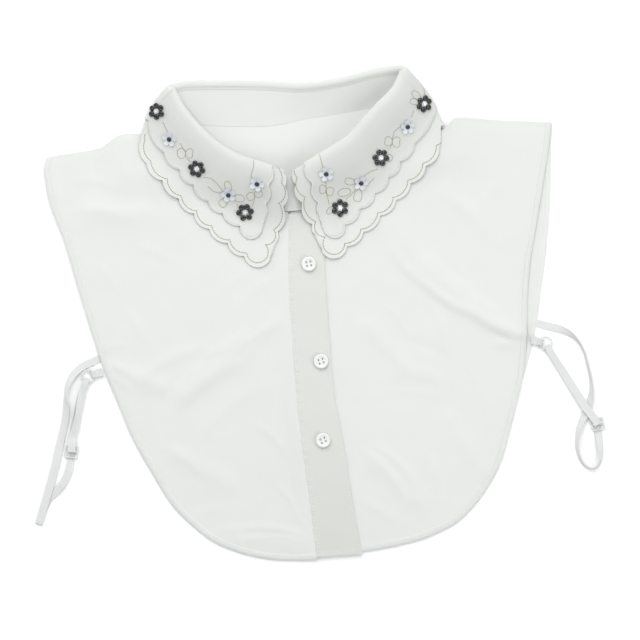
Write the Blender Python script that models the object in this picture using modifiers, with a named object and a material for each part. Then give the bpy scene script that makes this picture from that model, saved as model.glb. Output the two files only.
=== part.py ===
"""Detachable blouse collar with a short bib, laid flat with its front up.

Scalloped double collar on a stand, buttoned front, back panel and two elastic side straps.
Run it with: blender --background --python part.py
Tables are in millimetres, +X to the wearer's left, +Y towards the back of the neck, +Z up.
"""
import math

import bmesh
import bpy
from mathutils import Vector

MM = 0.001

# Cloth and seams
WALL = 1.0
SEAM = 0.3
LAYER = WALL + SEAM
BAND_WALL = 1.4
HEM_WIDTH = 3.4
HEM_RISE = 0.4

# The body rises over the two collar layers folded under the back of the neck
NECK_RISE = 2 * LAYER
RISE_START_Y, RISE_FULL_Y = 98.0, 122.0
RISE_LEFT_X, RISE_RIGHT_X = -113.0, 107.0
RISE_RUN = 24.0
FRONT_EARLY, COLLAR_EARLY = 8.0, 13.0

# Collar fold, seam and scallops
FOLD_RADIUS = 0.7
TIER_SLACK = 0.3
FOLD_PROUD = FOLD_RADIUS + LAYER + TIER_SLACK + WALL
SEAM_BELOW_FOLD, BAND_BELOW_FOLD = 4.2, 3.6
COLLAR_GAP = 0.5
ROLL_END = math.radians(150)
FRONT_DROP, SIDE_DROP, BACK_DROP = 43.0, 40.0, 19.0
SIDE_BULGE = 3.4
LOBE_RISE = 3.0
TIP_RISE = 11.8

# Hardware
BUTTON_RADIUS, BUTTON_THICKNESS = 5.3, 2.2
THREAD_HOLE_RADIUS, THREAD_HOLE_SPREAD = 0.8, 1.35
STRAP_WIDTH, STRAP_WALL = 6.0, 1.0
RING_RADIUS, RING_WIRE = 4.5, 0.6
SLIDER_LENGTH, SLIDER_WIDTH, SLIDER_BAR = 9.0, 9.4, 1.1

# Body outlines from the shoulder tip down the armhole to the middle of the hem: x, y
RIGHT_FRONT_OUTLINE = [
    (-178.5, 128.4), (-181.3, 121.0), (-180.6, 112.8), (-179.2, 98.4), (-175.2, 83.8),
    (-170.5, 69.2), (-164.0, 40.1), (-157.4, 11.0), (-150.1, -18.1), (-140.7, -47.4),
    (-130.6, -76.8), (-116.2, -106.4), (-106.7, -124.2), (-96.9, -136.4), (-80.0, -151.9),
    (-60.7, -161.8), (-39.7, -167.9), (-18.4, -170.5), (-6.6, -170.6),
]
LEFT_FRONT_OUTLINE = [
    (182.1, 128.6), (180.9, 121.5), (178.7, 109.2), (174.6, 91.6), (170.5, 74.0),
    (165.5, 52.8), (160.4, 31.7), (157.1, 10.5), (154.9, -10.8), (152.6, -32.2),
    (148.7, -53.3), (144.2, -67.3), (135.1, -95.3), (129.8, -109.3), (121.7, -123.0),
    (111.4, -136.6), (96.9, -149.9), (82.8, -156.8), (66.0, -162.1), (32.7, -166.9),
    (10.3, -168.4), (-4.6, -168.8),
]
# The back panel's left armhole, where it looks out past the front: x, y
BACK_LEFT_ARMHOLE = [
    (182.8, 128.6), (181.9, 119.0), (180.8, 109.0), (179.2, 91.2), (177.6, 73.5),
    (174.7, 52.2), (171.1, 31.0), (166.7, 9.8), (162.4, -11.4), (156.6, -32.4),
    (148.6, -54.0),
]
BACK_INSET = 2.5
BACK_NECK_GAP, FRONT_NECK_GAP = 1.3, 1.1

# Shoulder seams from the neck to the tip: x, y
RIGHT_SHOULDER = [
    (-84.2, 143.0), (-95.0, 141.4), (-106.0, 140.6), (-112.0, 140.6), (-125.4, 140.9),
    (-140.3, 132.9), (-169.1, 129.9), (-178.5, 128.4),
]
LEFT_SHOULDER = [
    (74.6, 145.0), (88.0, 137.0), (98.0, 131.0), (104.0, 128.4), (109.0, 131.6),
    (114.1, 136.4), (146.0, 132.9), (182.1, 128.8),
]

# Buttoned band: y, its stitched edge x, its folded edge x
BAND = [
    (-169.5, -6.1, 25.9), (-128.3, -8.3, 21.6), (-92.3, -10.7, 18.6), (-56.4, -12.3, 14.4),
    (-6.3, -12.6, 13.5), (36.6, -11.8, 13.9), (58.0, -10.3, 15.2), (76.0, -9.3, 16.6),
]
BAND_TOP_Y, BAND_LOW_Y, BAND_TOP_SLANT = 76.4, -169.0, 1.1
BAND_RAMP = 14.0
BAND_CLEARANCE = SEAM + 0.1
UNDERLAP = 1.5

# Largest folds of the front: x and y of one end, of the other end, half width, height
FOLDS = [
    (145.0, -20.0, 112.0, 6.0, 9.0, 2.2), (112.0, 6.0, 84.0, 34.0, 10.0, 2.0),
    (84.0, 34.0, 62.0, 62.0, 9.0, 1.2), (42.0, -8.0, 66.0, -36.0, 6.5, 1.0),
    (-92.0, -46.0, -48.0, -12.0, 8.0, 1.3), (-46.0, -18.0, -22.0, 2.0, 7.0, 1.0),
    (-60.0, -152.0, -16.0, -161.0, 5.0, 0.8), (40.0, -104.0, 66.0, -132.0, 6.5, 0.9),
    (-134.0, -28.0, -108.0, -40.0, 6.0, 1.2), (-150.0, 92.0, -112.0, 86.0, 7.0, 0.9),
    (96.0, -78.0, 116.0, -116.0, 7.0, 0.9), (-100.0, -90.0, -66.0, -112.0, 7.0, 0.8),
]

# Collar stations, one for each scallop of the long edge.
# Station, fold x, y, z, neck seam x, y, cut edge x, y
RIGHT_COLLAR = [
    (0.0, -10.3, 109.2, 18.6, -10.5, 78.4, -24.2, 54.6),
    (1.0, -19.3, 112.6, 18.4, -19.0, 80.8, -43.1, 48.8),
    (2.0, -30.4, 117.2, 18.2, -29.8, 85.6, -54.1, 58.9),
    (3.0, -41.6, 121.8, 18.2, -41.0, 91.6, -66.5, 69.9),
    (4.0, -52.5, 128.9, 18.1, -52.0, 99.2, -76.4, 81.5),
    (5.0, -62.0, 137.5, 18.0, -61.6, 108.4, -86.5, 93.0),
    (6.0, -70.5, 147.6, 18.0, -70.2, 118.4, -97.1, 106.5),
    (7.0, -77.4, 157.6, 18.2, -77.0, 128.6, -107.6, 119.4),
    (8.0, -81.9, 166.9, 18.3, -80.4, 137.4, -110.4, 136.0),
]
BACK_COLLAR = [
    (10.0, -76.0, 175.8, 13.3, -74.0, 145.0, -96.0, 134.8),
    (12.0, -48.0, 174.3, 12.8, -46.6, 141.8, -68.0, 129.8),
    (14.0, -20.0, 172.0, 12.8, -18.0, 140.2, -24.0, 127.8),
    (16.0, 6.0, 168.6, 13.8, 8.0, 143.4, 10.0, 127.4),
    (18.0, 32.0, 169.8, 15.8, 32.3, 145.2, 44.0, 128.2),
    (20.0, 62.0, 174.6, 18.2, 57.6, 148.2, 80.0, 130.0),
]
LEFT_COLLAR = [
    (23.0, 70.4, 160.8, 22.6, 67.6, 130.4, 101.2, 116.1),
    (24.0, 58.5, 150.4, 21.8, 56.4, 120.0, 90.6, 103.9),
    (25.0, 47.7, 140.2, 20.8, 46.4, 109.8, 79.0, 92.6),
    (26.0, 38.5, 131.0, 20.0, 36.8, 100.6, 67.8, 81.1),
    (27.0, 26.5, 123.8, 19.2, 26.0, 92.4, 55.9, 70.8),
    (28.0, 15.5, 118.4, 18.4, 15.2, 85.8, 43.1, 60.0),
    (29.0, 5.1, 112.9, 17.4, 5.0, 81.0, 30.8, 50.7),
    (30.0, -3.9, 108.7, 16.8, -3.9, 78.4, 13.2, 57.4),
]
# Side creases: first station, middle of the fold's turn x, y, z, of the neck's turn x, y,
# edge x, y
RIGHT_CREASE = (8.5, -84.6, 173.4, 16.0, -81.6, 143.6, -107.2, 142.3)
LEFT_CREASE = (21.5, 77.6, 174.0, 21.0, 71.6, 146.6, 103.4, 131.4)
CREASE_SPAN, CREASE_STEPS = 0.5, 6
FOLD_CORNER, NECK_CORNER = 2.6, 1.15
LAST_STATION = 30.0

# Cusps of the two centre front edges, from the fold to the tip: way down, x, y
RIGHT_TIP_EDGE = [
    (0.0, -10.3, 109.2), (0.18, -10.2, 98.0), (0.43, -12.9, 83.6), (0.77, -18.2, 65.2),
    (1.0, -24.2, 54.6),
]
LEFT_TIP_EDGE = [
    (0.0, -3.9, 108.7), (0.18, -2.9, 99.6), (0.43, 1.3, 85.6), (0.77, 7.5, 68.6),
    (1.0, 13.2, 57.4),
]

# Upper tier's cusps: leaf station, way down the leaf, rise of the scallop that follows
TIER_EDGE = [
    (0.73, 0.609, 9.0), (1.67, 0.728, 3.2), (2.70, 0.725, 3.2), (3.59, 0.705, 3.3),
    (4.62, 0.668, 3.3), (5.54, 0.655, 3.3), (6.57, 0.653, 3.8), (8.40, 0.70, 0.0),
    (9.60, 0.72, 0.0), (15.0, 0.72, 0.0), (20.5, 0.72, 0.0), (21.7, 0.68, 2.6),
    (23.75, 0.682, 3.2), (24.78, 0.699, 3.2), (25.64, 0.711, 3.2), (26.61, 0.747, 3.2),
    (27.59, 0.767, 3.2), (28.59, 0.781, 7.8), (29.42, 0.687, 0.0),
]
# Its centre front edges: way down the leaf, leaf station
RIGHT_TIER_FRONT = [
    (-1.0, 0.91), (0.0, 0.91), (0.06, 0.52), (0.16, 0.84), (0.30, 0.53), (0.43, 0.64),
    (0.56, 0.70), (0.61, 0.73),
]
LEFT_TIER_FRONT = [
    (-1.0, 29.03), (0.0, 29.03), (0.06, 29.30), (0.16, 29.12), (0.30, 29.44),
    (0.43, 29.40), (0.60, 29.35), (0.69, 29.35),
]
TIER_FRONT_REACH = 1.1

# Small scallops down the centre front edges of the leaf, from the fold
SIDE_RISES = (0.9, 0.9, 2.4, 2.4)
# How far the stand's ends run past the centre front
RIGHT_LAP, LEFT_LAP = 12.0, 6.0

# How closely the panels are divided
FRONT_COLUMNS, FRONT_ROWS = 11, 30
FRONT_NECK_ROWS = 0.30
FRONT_HEM_START = 34.0
BACK_COLUMNS = 38
BACK_NEAR_ROWS = [0.0, 9.0, 18.0, 27.0, 36.0, 47.0, 60.0]
BACK_FAR_ROWS = 3
SHOULDER_COLUMNS, SHOULDER_ROWS = 7, 5
BAND_COLUMNS, BAND_ROWS = 4, 22
STAND_ROWS = 4

# How closely the collar is divided: first and last station of a span, steps in it
COLLAR_SPANS = [
    (0.0, 1.0, 6), (1.0, 8.0, 28), (8.0, 8.5, 2), (8.5, 9.0, 6), (9.0, 21.5, 9),
    (21.5, 22.0, 6), (22.0, 23.0, 4), (23.0, 29.0, 24), (29.0, 30.0, 6),
]
TIER_SPANS = [
    (0.73, 1.67, 8), (1.67, 2.70, 4), (2.70, 3.59, 4), (3.59, 4.62, 4), (4.62, 5.54, 4),
    (5.54, 6.57, 4), (6.57, 8.40, 5), (8.40, 8.50, 1), (8.50, 9.0, 6), (9.0, 21.5, 9),
    (21.5, 22.0, 6), (22.0, 23.75, 5), (23.75, 24.78, 4), (24.78, 25.64, 4),
    (25.64, 26.61, 4), (26.61, 27.59, 4), (27.59, 28.59, 4), (28.59, 29.42, 8),
]
STAND_SPANS = [
    (0.0, 8.0, 16), (8.0, 8.5, 2), (8.5, 9.0, 6), (9.0, 21.5, 9), (21.5, 22.0, 6),
    (22.0, 30.0, 16),
]
# Rows of the leaf and the tier: round the fold, then down the fall
TURN_ROWS = [-2.0, -1.0, -0.66, -0.33, 0.0]
FALL_ROWS = [0.06, 0.16, 0.30, 0.43, 0.60, 0.77, 0.89, 1.0]
LAST_TIP_ROW = 0.97
TIER_TURN_ROWS = [-0.85, -0.66, -0.33, 0.0]
TIER_FALL_ROWS = [0.06, 0.16, 0.30, 0.43, 0.60]
TIER_HEM_ROW = 0.05

# Middles of the buttons: x, y
BUTTONS = [(2.6, 40.0), (6.5, -29.9), (4.0, -86.2)]

# Straps, run from the back panel to the slider: x, y, height of the middle, tilt in degrees
RIGHT_RUN = [
    (-151.3, -16.7, 0.5, 0), (-155.9, -18.8, 0.5, 0), (-163.3, -21.7, 0.7, 8),
    (-170.1, -26.8, 1.3, 25), (-174.9, -34.3, 2.2, 48), (-176.9, -42.6, 2.6, 62),
    (-177.2, -50.6, 1.6, 28), (-178.9, -60.5, 0.8, 6), (-182.6, -73.1, 1.0, 0),
    (-186.5, -87.2, 1.8, 0), (-190.4, -99.1, 1.9, 0), (-194.7, -111.4, 1.9, 0),
    (-199.0, -122.5, 1.9, 0), (-202.3, -131.2, 1.8, 0),
]
RIGHT_RETURN = [
    (-202.3, -131.2, 0.5, 0), (-198.3, -121.6, 0.5, 0), (-193.8, -114.0, 0.5, 0),
    (-188.8, -109.6, 0.7, 10), (-183.4, -104.0, 1.6, 30), (-179.2, -96.6, 1.2, 20),
    (-176.8, -89.3, 0.5, 0), (-175.6, -82.9, 0.5, 0),
]
LEFT_RUN = [
    (163.2, -13.9, 0.5, 0), (167.8, -15.6, 0.5, 0), (176.0, -18.2, 0.6, 6),
    (183.6, -21.7, 1.2, 25), (190.0, -27.7, 2.6, 58), (194.2, -36.2, 3.0, 74),
    (196.3, -46.6, 2.8, 64), (197.7, -56.8, 2.2, 44), (197.4, -65.4, 1.3, 26),
    (195.6, -72.7, 0.6, 8), (192.6, -79.7, 0.5, 0), (188.6, -86.7, 0.9, 16),
    (185.7, -94.4, 2.0, 44), (184.6, -103.1, 2.6, 60), (185.9, -111.4, 3.0, 72),
    (189.6, -117.8, 3.1, 78), (194.8, -119.8, 3.1, 76), (199.2, -116.6, 2.9, 68),
    (200.9, -109.6, 2.3, 48), (200.7, -101.6, 1.2, 22), (200.4, -95.0, 0.5, 0),
    (200.2, -89.6, 0.5, 0),
]
# Doubled tapes from the slider to the ring: x, y, height of the middle, tilt
RIGHT_DOUBLE = [
    (-175.6, -82.0, 3.9, 0), (-174.9, -77.0, 3.9, 0), (-173.9, -71.0, 2.4, 8),
    (-171.9, -64.3, 3.0, 24), (-169.4, -54.7, 4.0, 44), (-167.1, -46.6, 3.0, 22),
    (-164.9, -39.5, 2.2, 4), (-162.9, -34.6, 2.4, 0),
]
LEFT_DOUBLE = [
    (200.2, -88.6, 3.9, 0), (197.6, -83.6, 4.0, 0), (192.2, -75.4, 3.9, 0),
    (186.4, -64.6, 3.0, 0), (180.2, -53.0, 2.0, 0), (174.4, -42.4, 2.0, 0),
    (170.2, -34.6, 2.4, 0),
]
# Rings: centre x, y, direction of the strap and of the tab in degrees
RIGHT_RING = (-159.9, -28.9, 243.0, 14.0)
LEFT_RING = (167.2, -28.2, 295.0, 163.0)
RING_HEIGHT = 2.4
TAB_LENGTH = 10.6
LOOP_HALF, LAYER_HALF = 1.8, 0.65
LOOP_WIDTH = 5.0
TAB_HEIGHT = 2.45
# Sliders: middle x, y, heading in degrees
RIGHT_SLIDER = (-175.6, -82.0, 80.0)
LEFT_SLIDER = (200.2, -88.6, 100.0)
SLIDER_HEIGHT = 1.8

COLOURS = {
    "cotton": (0.90, 0.90, 0.88, 1.0),
    "band": (0.86, 0.86, 0.84, 1.0),
    "stand": (0.84, 0.85, 0.84, 1.0),
    "tier": (0.93, 0.93, 0.91, 1.0),
    "button": (0.88, 0.87, 0.85, 1.0),
    "elastic": (0.80, 0.82, 0.83, 1.0),
    "clear_plastic": (0.78, 0.79, 0.78, 1.0),
}


def smooth(value):
    """Soft step from 0 to 1."""
    value = min(1.0, max(0.0, value))
    return value * value * (3 - 2 * value)


def through(rows, at):
    """Values of a table at a place in its first column, on a smooth curve through its rows."""
    if at <= rows[0][0]:
        return list(rows[0][1:])
    if at >= rows[-1][0]:
        return list(rows[-1][1:])
    here = max(i for i in range(len(rows) - 1) if rows[i][0] <= at)
    before, start = rows[max(here - 1, 0)], rows[here]
    end, after = rows[here + 1], rows[min(here + 2, len(rows) - 1)]
    span = end[0] - start[0]
    part = (at - start[0]) / span
    square, cube = part * part, part * part * part
    values = []
    for column in range(1, len(start)):
        leave = span * (end[column] - before[column]) / (end[0] - before[0])
        arrive = span * (after[column] - start[column]) / (after[0] - start[0])
        values.append(
            start[column] * (2 * cube - 3 * square + 1) + leave * (cube - 2 * square + part)
            + end[column] * (3 * square - 2 * cube) + arrive * (cube - square)
        )
    return values


def with_distance(points):
    """Rows of a route with the length so far, from 0 to 1, in the first column."""
    lengths = [0.0]
    for first, second in zip(points, points[1:]):
        lengths.append(lengths[-1] + math.dist(first[:2], second[:2]) + 0.01)
    return [(length / lengths[-1], *point) for length, point in zip(lengths, points)]


# Heights of the stacked cloth

def neck_rise(x, y, early=0.0):
    """How far the body is lifted by the collar layers under it."""
    back = smooth((y + early - RISE_START_Y) / (RISE_FULL_Y - RISE_START_Y))
    right = smooth((x + early - RISE_LEFT_X + RISE_RUN) / RISE_RUN)
    left = smooth((RISE_RIGHT_X + early + RISE_RUN - x) / RISE_RUN)
    return NECK_RISE * back * right * left


def folds(x, y):
    """Height of the largest folds of the front."""
    height = 0.0
    for x0, y0, x1, y1, half_width, rise in FOLDS:
        run = Vector((x1 - x0, y1 - y0))
        offset = Vector((x - x0, y - y0))
        along = min(1.0, max(0.0, offset.dot(run) / run.length_squared))
        away = (offset - run * along).length
        height = max(height, rise * math.exp(-(away / half_width) ** 2))
    return height


def band_edges(y):
    """Stitched and folded edge of the buttoned band."""
    return through(BAND, y)


def fold_fade(x, y):
    """Folds die out towards the buttoned band."""
    stitched, folded = band_edges(y)
    return smooth(max(stitched - x, x - folded) / BAND_RAMP)


def front_underside(x, y, early=FRONT_EARLY):
    """The fronts rise a little further out than the back under them."""
    return neck_rise(x, y, early) + LAYER + folds(x, y) * fold_fade(x, y)


def right_front_underside(x, y):
    """The right front climbs to the buttoned band."""
    climb = smooth((x - band_edges(y)[0] + BAND_RAMP) / (BAND_RAMP - SEAM))
    return front_underside(x, y) + LAYER * climb


def cover(x, y):
    """Top of everything that the collar lies on in front."""
    stitched, folded = band_edges(y)
    rise = smooth((x - stitched + BAND_RAMP + 3) / (BAND_RAMP + 1))
    fall = 1 - smooth((x - folded - 1) / BAND_RAMP)
    bump = (LAYER + BAND_WALL - WALL) * rise * fall
    return front_underside(x, y, COLLAR_EARLY) + WALL + bump


# Collar surface

def crease_rows(crease, sign):
    """Stations round a side crease, where every rail turns from one layer to the other."""
    first, fold_x, fold_y, fold_z, neck_x, neck_y, edge_x, edge_y = crease
    lean = Vector((0, fold_y - neck_y, fold_z - NECK_RISE - LAYER)).normalized()
    upright = Vector((0, -lean.z, lean.y))
    edge_out = (LAYER + WALL + SEAM + SEAM) / 2
    rows = []
    for step in range(CREASE_STEPS + 1):
        part = step / CREASE_STEPS
        turn = math.pi * (0.5 - part) * -sign
        out, rise = sign * math.cos(turn), math.sin(turn)
        rows.append((
            first + CREASE_SPAN * part,
            fold_x + FOLD_CORNER * out, fold_y + FOLD_CORNER * rise * upright.y,
            fold_z + FOLD_CORNER * rise * upright.z,
            neck_x + NECK_CORNER * out, neck_y + NECK_CORNER * rise * upright.y,
            edge_x + edge_out * out, edge_y,
        ))
    return rows


STATIONS = (RIGHT_COLLAR + crease_rows(RIGHT_CREASE, -1) + BACK_COLLAR
            + crease_rows(LEFT_CREASE, 1) + LEFT_COLLAR)


def frontness(station):
    """1 on the leaves that lie on the front, 0 under the back, turning over at a crease."""
    for crease, falls in ((RIGHT_CREASE, True), (LEFT_CREASE, False)):
        part = (station - crease[0]) / CREASE_SPAN
        if 0 <= part <= 1:
            turn = 0.5 + 0.5 * math.cos(math.pi * part)
            return turn if falls else 1 - turn
    return 0.0 if RIGHT_CREASE[0] < station < LEFT_CREASE[0] + CREASE_SPAN else 1.0


def bulge(station):
    """How much a station takes part in the round side of the collar."""
    middles = (RIGHT_CREASE[0] + CREASE_SPAN / 2, LEFT_CREASE[0] + CREASE_SPAN / 2)
    away = min(abs(station - middle) for middle in middles)
    return smooth(1 - away / 1.1)


def rails(station):
    """Neck seam, start of the fold, lean of the stand and cut edge at a station."""
    fold_x, fold_y, fold_z, neck_x, neck_y, edge_x, edge_y = through(STATIONS, station)
    front = frontness(station)
    if station < LAST_STATION / 2:
        upper = right_front_underside(neck_x, neck_y) + WALL
        upper += SEAM * smooth(1 - station)
    else:
        upper = front_underside(neck_x, neck_y) + WALL
    neck = Vector((neck_x, neck_y, NECK_RISE + (upper - NECK_RISE) * front))
    seen = Vector((fold_x, fold_y, fold_z))
    lean = (seen - neck).normalized()
    return neck, seen - lean * FOLD_PROUD, lean, Vector((edge_x, edge_y, 0))


def stand_side(station):
    """Direction from the stand's outer face away from the neck."""
    step = 0.04
    ahead, behind = min(LAST_STATION, station + step), max(0.0, station - step)
    along = (rails(ahead)[1] - rails(behind)[1]).normalized()
    return rails(station)[2].cross(along).normalized()


def stand_point(station, way):
    """Outer face of the stand, from 0 at the neck seam to 1 at the fold."""
    neck, fold, lean, edge = rails(station)
    point = neck.lerp(fold, way)
    point.z = neck.z + (fold.z - neck.z) * way ** 1.12
    return point


def fold_way(station, below):
    """Way up the stand at a distance below the fold."""
    neck, fold, lean, edge = rails(station)
    return 1 - below / (fold - neck).length


def tip_path(station, down):
    """Shift of the leaf's first rows onto its centre front edge."""
    ends = ((station, RIGHT_TIP_EDGE), (LAST_STATION - station, LEFT_TIP_EDGE))
    for away, table in ends:
        if away < 1:
            x, y = through(table, down)
            straight_x = table[0][1] + (table[-1][1] - table[0][1]) * down
            straight_y = table[0][2] + (table[-1][2] - table[0][2]) * down
            return Vector((x - straight_x, y - straight_y, 0)) * (1 - away) ** 1.5
    return Vector((0, 0, 0))


def leaf_height(station, down, reach, start, x, y):
    """Underside of the leaf on the front, or its upper side under the back."""
    front = frontness(station)
    rest_front = cover(x, y) + COLLAR_GAP
    rest_back = NECK_RISE - SEAM
    run = down * reach
    fall_front = 1 - smooth(run / FRONT_DROP)
    fall_back = (1 - min(1.0, run / BACK_DROP)) ** 2.2
    on_front = rest_front + (start - rest_front) * fall_front
    on_back = rest_back + (start - rest_back) * fall_back
    middle = (rest_front + rest_back) / 2
    on_side = middle + (start - middle) * (1 - min(1.0, run / SIDE_DROP))
    side = 4 * front * (1 - front)
    flat = on_front * front + on_back * (1 - front)
    return flat * (1 - 0.5 * side) + 0.5 * side * on_side


def leaf_point(station, down):
    """Inner side of the leaf: -2 to -1 the seam band, -1 to 0 the fold, 0 to 1 the fall."""
    neck, fold, lean, edge = rails(station)
    if down < -1:
        way = fold_way(station, BAND_BELOW_FOLD)
        return stand_point(station, way + (1 - way) * (down + 2))
    side = stand_side(station)
    middle = fold + side * FOLD_RADIUS
    turn = ROLL_END * min(1.0, down + 1)
    roll = middle + FOLD_RADIUS * (lean * math.sin(turn) - side * math.cos(turn))
    if down <= 0:
        return roll
    point = roll.lerp(edge, down)
    point += tip_path(station, down)
    sign = -1 if station < LAST_STATION / 2 else 1
    point.x += sign * SIDE_BULGE * math.sin(math.pi * down) * bulge(station)
    reach = math.dist(roll[:2], edge[:2])
    point.z = leaf_height(station, down, reach, roll.z, point.x, point.y)
    return point


def leaf_outward(station, down):
    """Direction out of the leaf's face, away from the neck."""
    step = 0.03
    ahead, behind = min(LAST_STATION, station + step), max(0.0, station - step)
    lower, upper = min(1.0, down + step), max(-2.0, down - step)
    along = leaf_point(ahead, down) - leaf_point(behind, down)
    across = leaf_point(station, lower) - leaf_point(station, upper)
    return along.cross(across).normalized()


def tier_lift(station, down):
    """The tier stands a little looser on the leaf where both are curved."""
    loose = max(frontness(station), smooth((0.45 - down) / 0.2))
    return LAYER + TIER_SLACK * loose


def lobe(start, end, part, rise, away):
    """A point on a round scallop over the chord from start to end."""
    chord = Vector((end.x - start.x, end.y - start.y, 0))
    normal = Vector((-chord.y, chord.x, 0)).normalized()
    if normal.dot(away) < 0:
        normal = -normal
    half = chord.length / 2
    radius = (half * half + rise * rise) / (2 * rise)
    sweep = math.asin(min(1.0, half / radius))
    if rise > half:
        sweep = math.pi - sweep
    turn = sweep * (2 * part - 1)
    shift = radius * math.cos(turn) - (radius - rise)
    point = (start + end) / 2 + chord.normalized() * radius * math.sin(turn) + normal * shift
    point.z = start.z + (end.z - start.z) * part
    return point


def new_object(name, colour, collection, roughness=0.85, metallic=0.0):
    """Empty mesh object with its own material, in the part's collection."""
    mesh = bpy.data.meshes.new(name)
    piece = bpy.data.objects.new(name, mesh)
    collection.objects.link(piece)
    material = bpy.data.materials.new(name)
    material.use_nodes = True
    shader = material.node_tree.nodes["Principled BSDF"]
    shader.inputs["Base Color"].default_value = COLOURS[colour]
    shader.inputs["Roughness"].default_value = roughness
    shader.inputs["Metallic"].default_value = metallic
    mesh.materials.append(material)
    return piece


def sheet(piece, columns, rows, place, wall, flip=False, corners=False):
    """Grid whose points are placed by a function, given its thickness by Solidify."""
    shape = bmesh.new()
    bmesh.ops.create_grid(shape, x_segments=columns, y_segments=rows, size=1.0)
    grid = {}
    for vertex in shape.verts:
        across = round((vertex.co.x + 1) / 2 * columns)
        down = round((vertex.co.y + 1) / 2 * rows)
        vertex.co = place(across, down) * MM
        grid[across, down] = vertex
    if corners:
        bmesh.ops.connect_verts(shape, verts=[grid[0, rows], grid[1, rows - 1]])
        bmesh.ops.connect_verts(shape, verts=[grid[columns, rows], grid[columns - 1, rows - 1]])
    if flip:
        bmesh.ops.reverse_faces(shape, faces=shape.faces)
    shape.to_mesh(piece.data)
    shape.free()
    solid = piece.modifiers.new("Wall", "SOLIDIFY")
    solid.thickness = wall * MM
    solid.offset = 1.0
    solid.use_quality_normals = True
    piece.data.shade_smooth()
    return piece


def spaced(marks):
    """Stations from a list of spans, each with its number of steps."""
    values = [marks[0][0]]
    for start, end, steps in marks:
        values += [start + (end - start) * (step + 1) / steps for step in range(steps)]
    return values


# Body panels

def shift_inwards(points, distance):
    """An outline moved in from its edge."""
    moved = []
    for index, point in enumerate(points):
        before = points[max(index - 1, 0)]
        after = points[min(index + 1, len(points) - 1)]
        along = Vector((after[0] - before[0], after[1] - before[1])).normalized()
        inward = Vector((-along.y, along.x))
        if inward.dot(Vector((-point[0], -point[1]))) < 0:
            inward = -inward
        moved.append((point[0] + inward.x * distance, point[1] + inward.y * distance))
    return moved


def neck_edge(station, gap):
    """Neck edge of a panel, just outside the stand."""
    neck, fold, lean, edge = rails(station)
    step = 0.05
    ahead, behind = min(LAST_STATION, station + step), max(0.0, station - step)
    along = rails(ahead)[0] - rails(behind)[0]
    side = Vector((along.y, -along.x)).normalized()
    centre = Vector((-4.0, 115.0))
    if side.dot(Vector((neck.x, neck.y)) - centre) < 0:
        side = -side
    return neck.x + side.x * gap, neck.y + side.y * gap


def shoulder_shift(shoulder, part):
    """How far a shoulder seam dips from its straight chord."""
    straight = Vector(shoulder[0]).lerp(Vector(shoulder[-1]), part)
    return Vector(through(with_distance(shoulder), part)) - straight


def front_panel(name, collection, outline, shoulder, neck_stations, seam_edge, underside, flip):
    """A front, from its neck and centre edges out to its shoulder and hem."""
    outer = with_distance(outline)
    top = with_distance(shoulder)
    first, last = neck_stations
    low = outline[-1][1]
    start_y = neck_edge(last, FRONT_NECK_GAP)[1]

    def inner_point(way):
        if way < FRONT_NECK_ROWS:
            part = way / FRONT_NECK_ROWS
            return neck_edge(first + (last - first) * part, FRONT_NECK_GAP)
        part = (way - FRONT_NECK_ROWS) / (1 - FRONT_NECK_ROWS)
        y = start_y + (low + FRONT_HEM_START - start_y) * part
        return seam_edge(y), y

    def place(across, down):
        way = down / FRONT_ROWS
        part = across / FRONT_COLUMNS
        inner, edge = Vector(inner_point(way)), Vector(through(outer, way))
        if down == 0:
            point = Vector(through(top, part))
        elif down == FRONT_ROWS:
            y = inner.y + (low - inner.y) * part
            point = Vector((seam_edge(y), y))
        else:
            reach = (edge - inner).length
            knee = 1 - HEM_WIDTH / reach
            spot = knee * part * FRONT_COLUMNS / (FRONT_COLUMNS - 1)
            point = inner.lerp(edge, 1.0 if across == FRONT_COLUMNS else spot)
            if down < SHOULDER_ROWS:
                point += shoulder_shift(shoulder, part) * (1 - down / SHOULDER_ROWS)
        rise = HEM_RISE * fold_fade(*point) if across == FRONT_COLUMNS else 0.0
        return Vector((point.x, point.y, underside(point.x, point.y) + rise))

    piece = new_object(name, "cotton", collection)
    return sheet(piece, FRONT_COLUMNS, FRONT_ROWS, place, WALL, flip)


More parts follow.
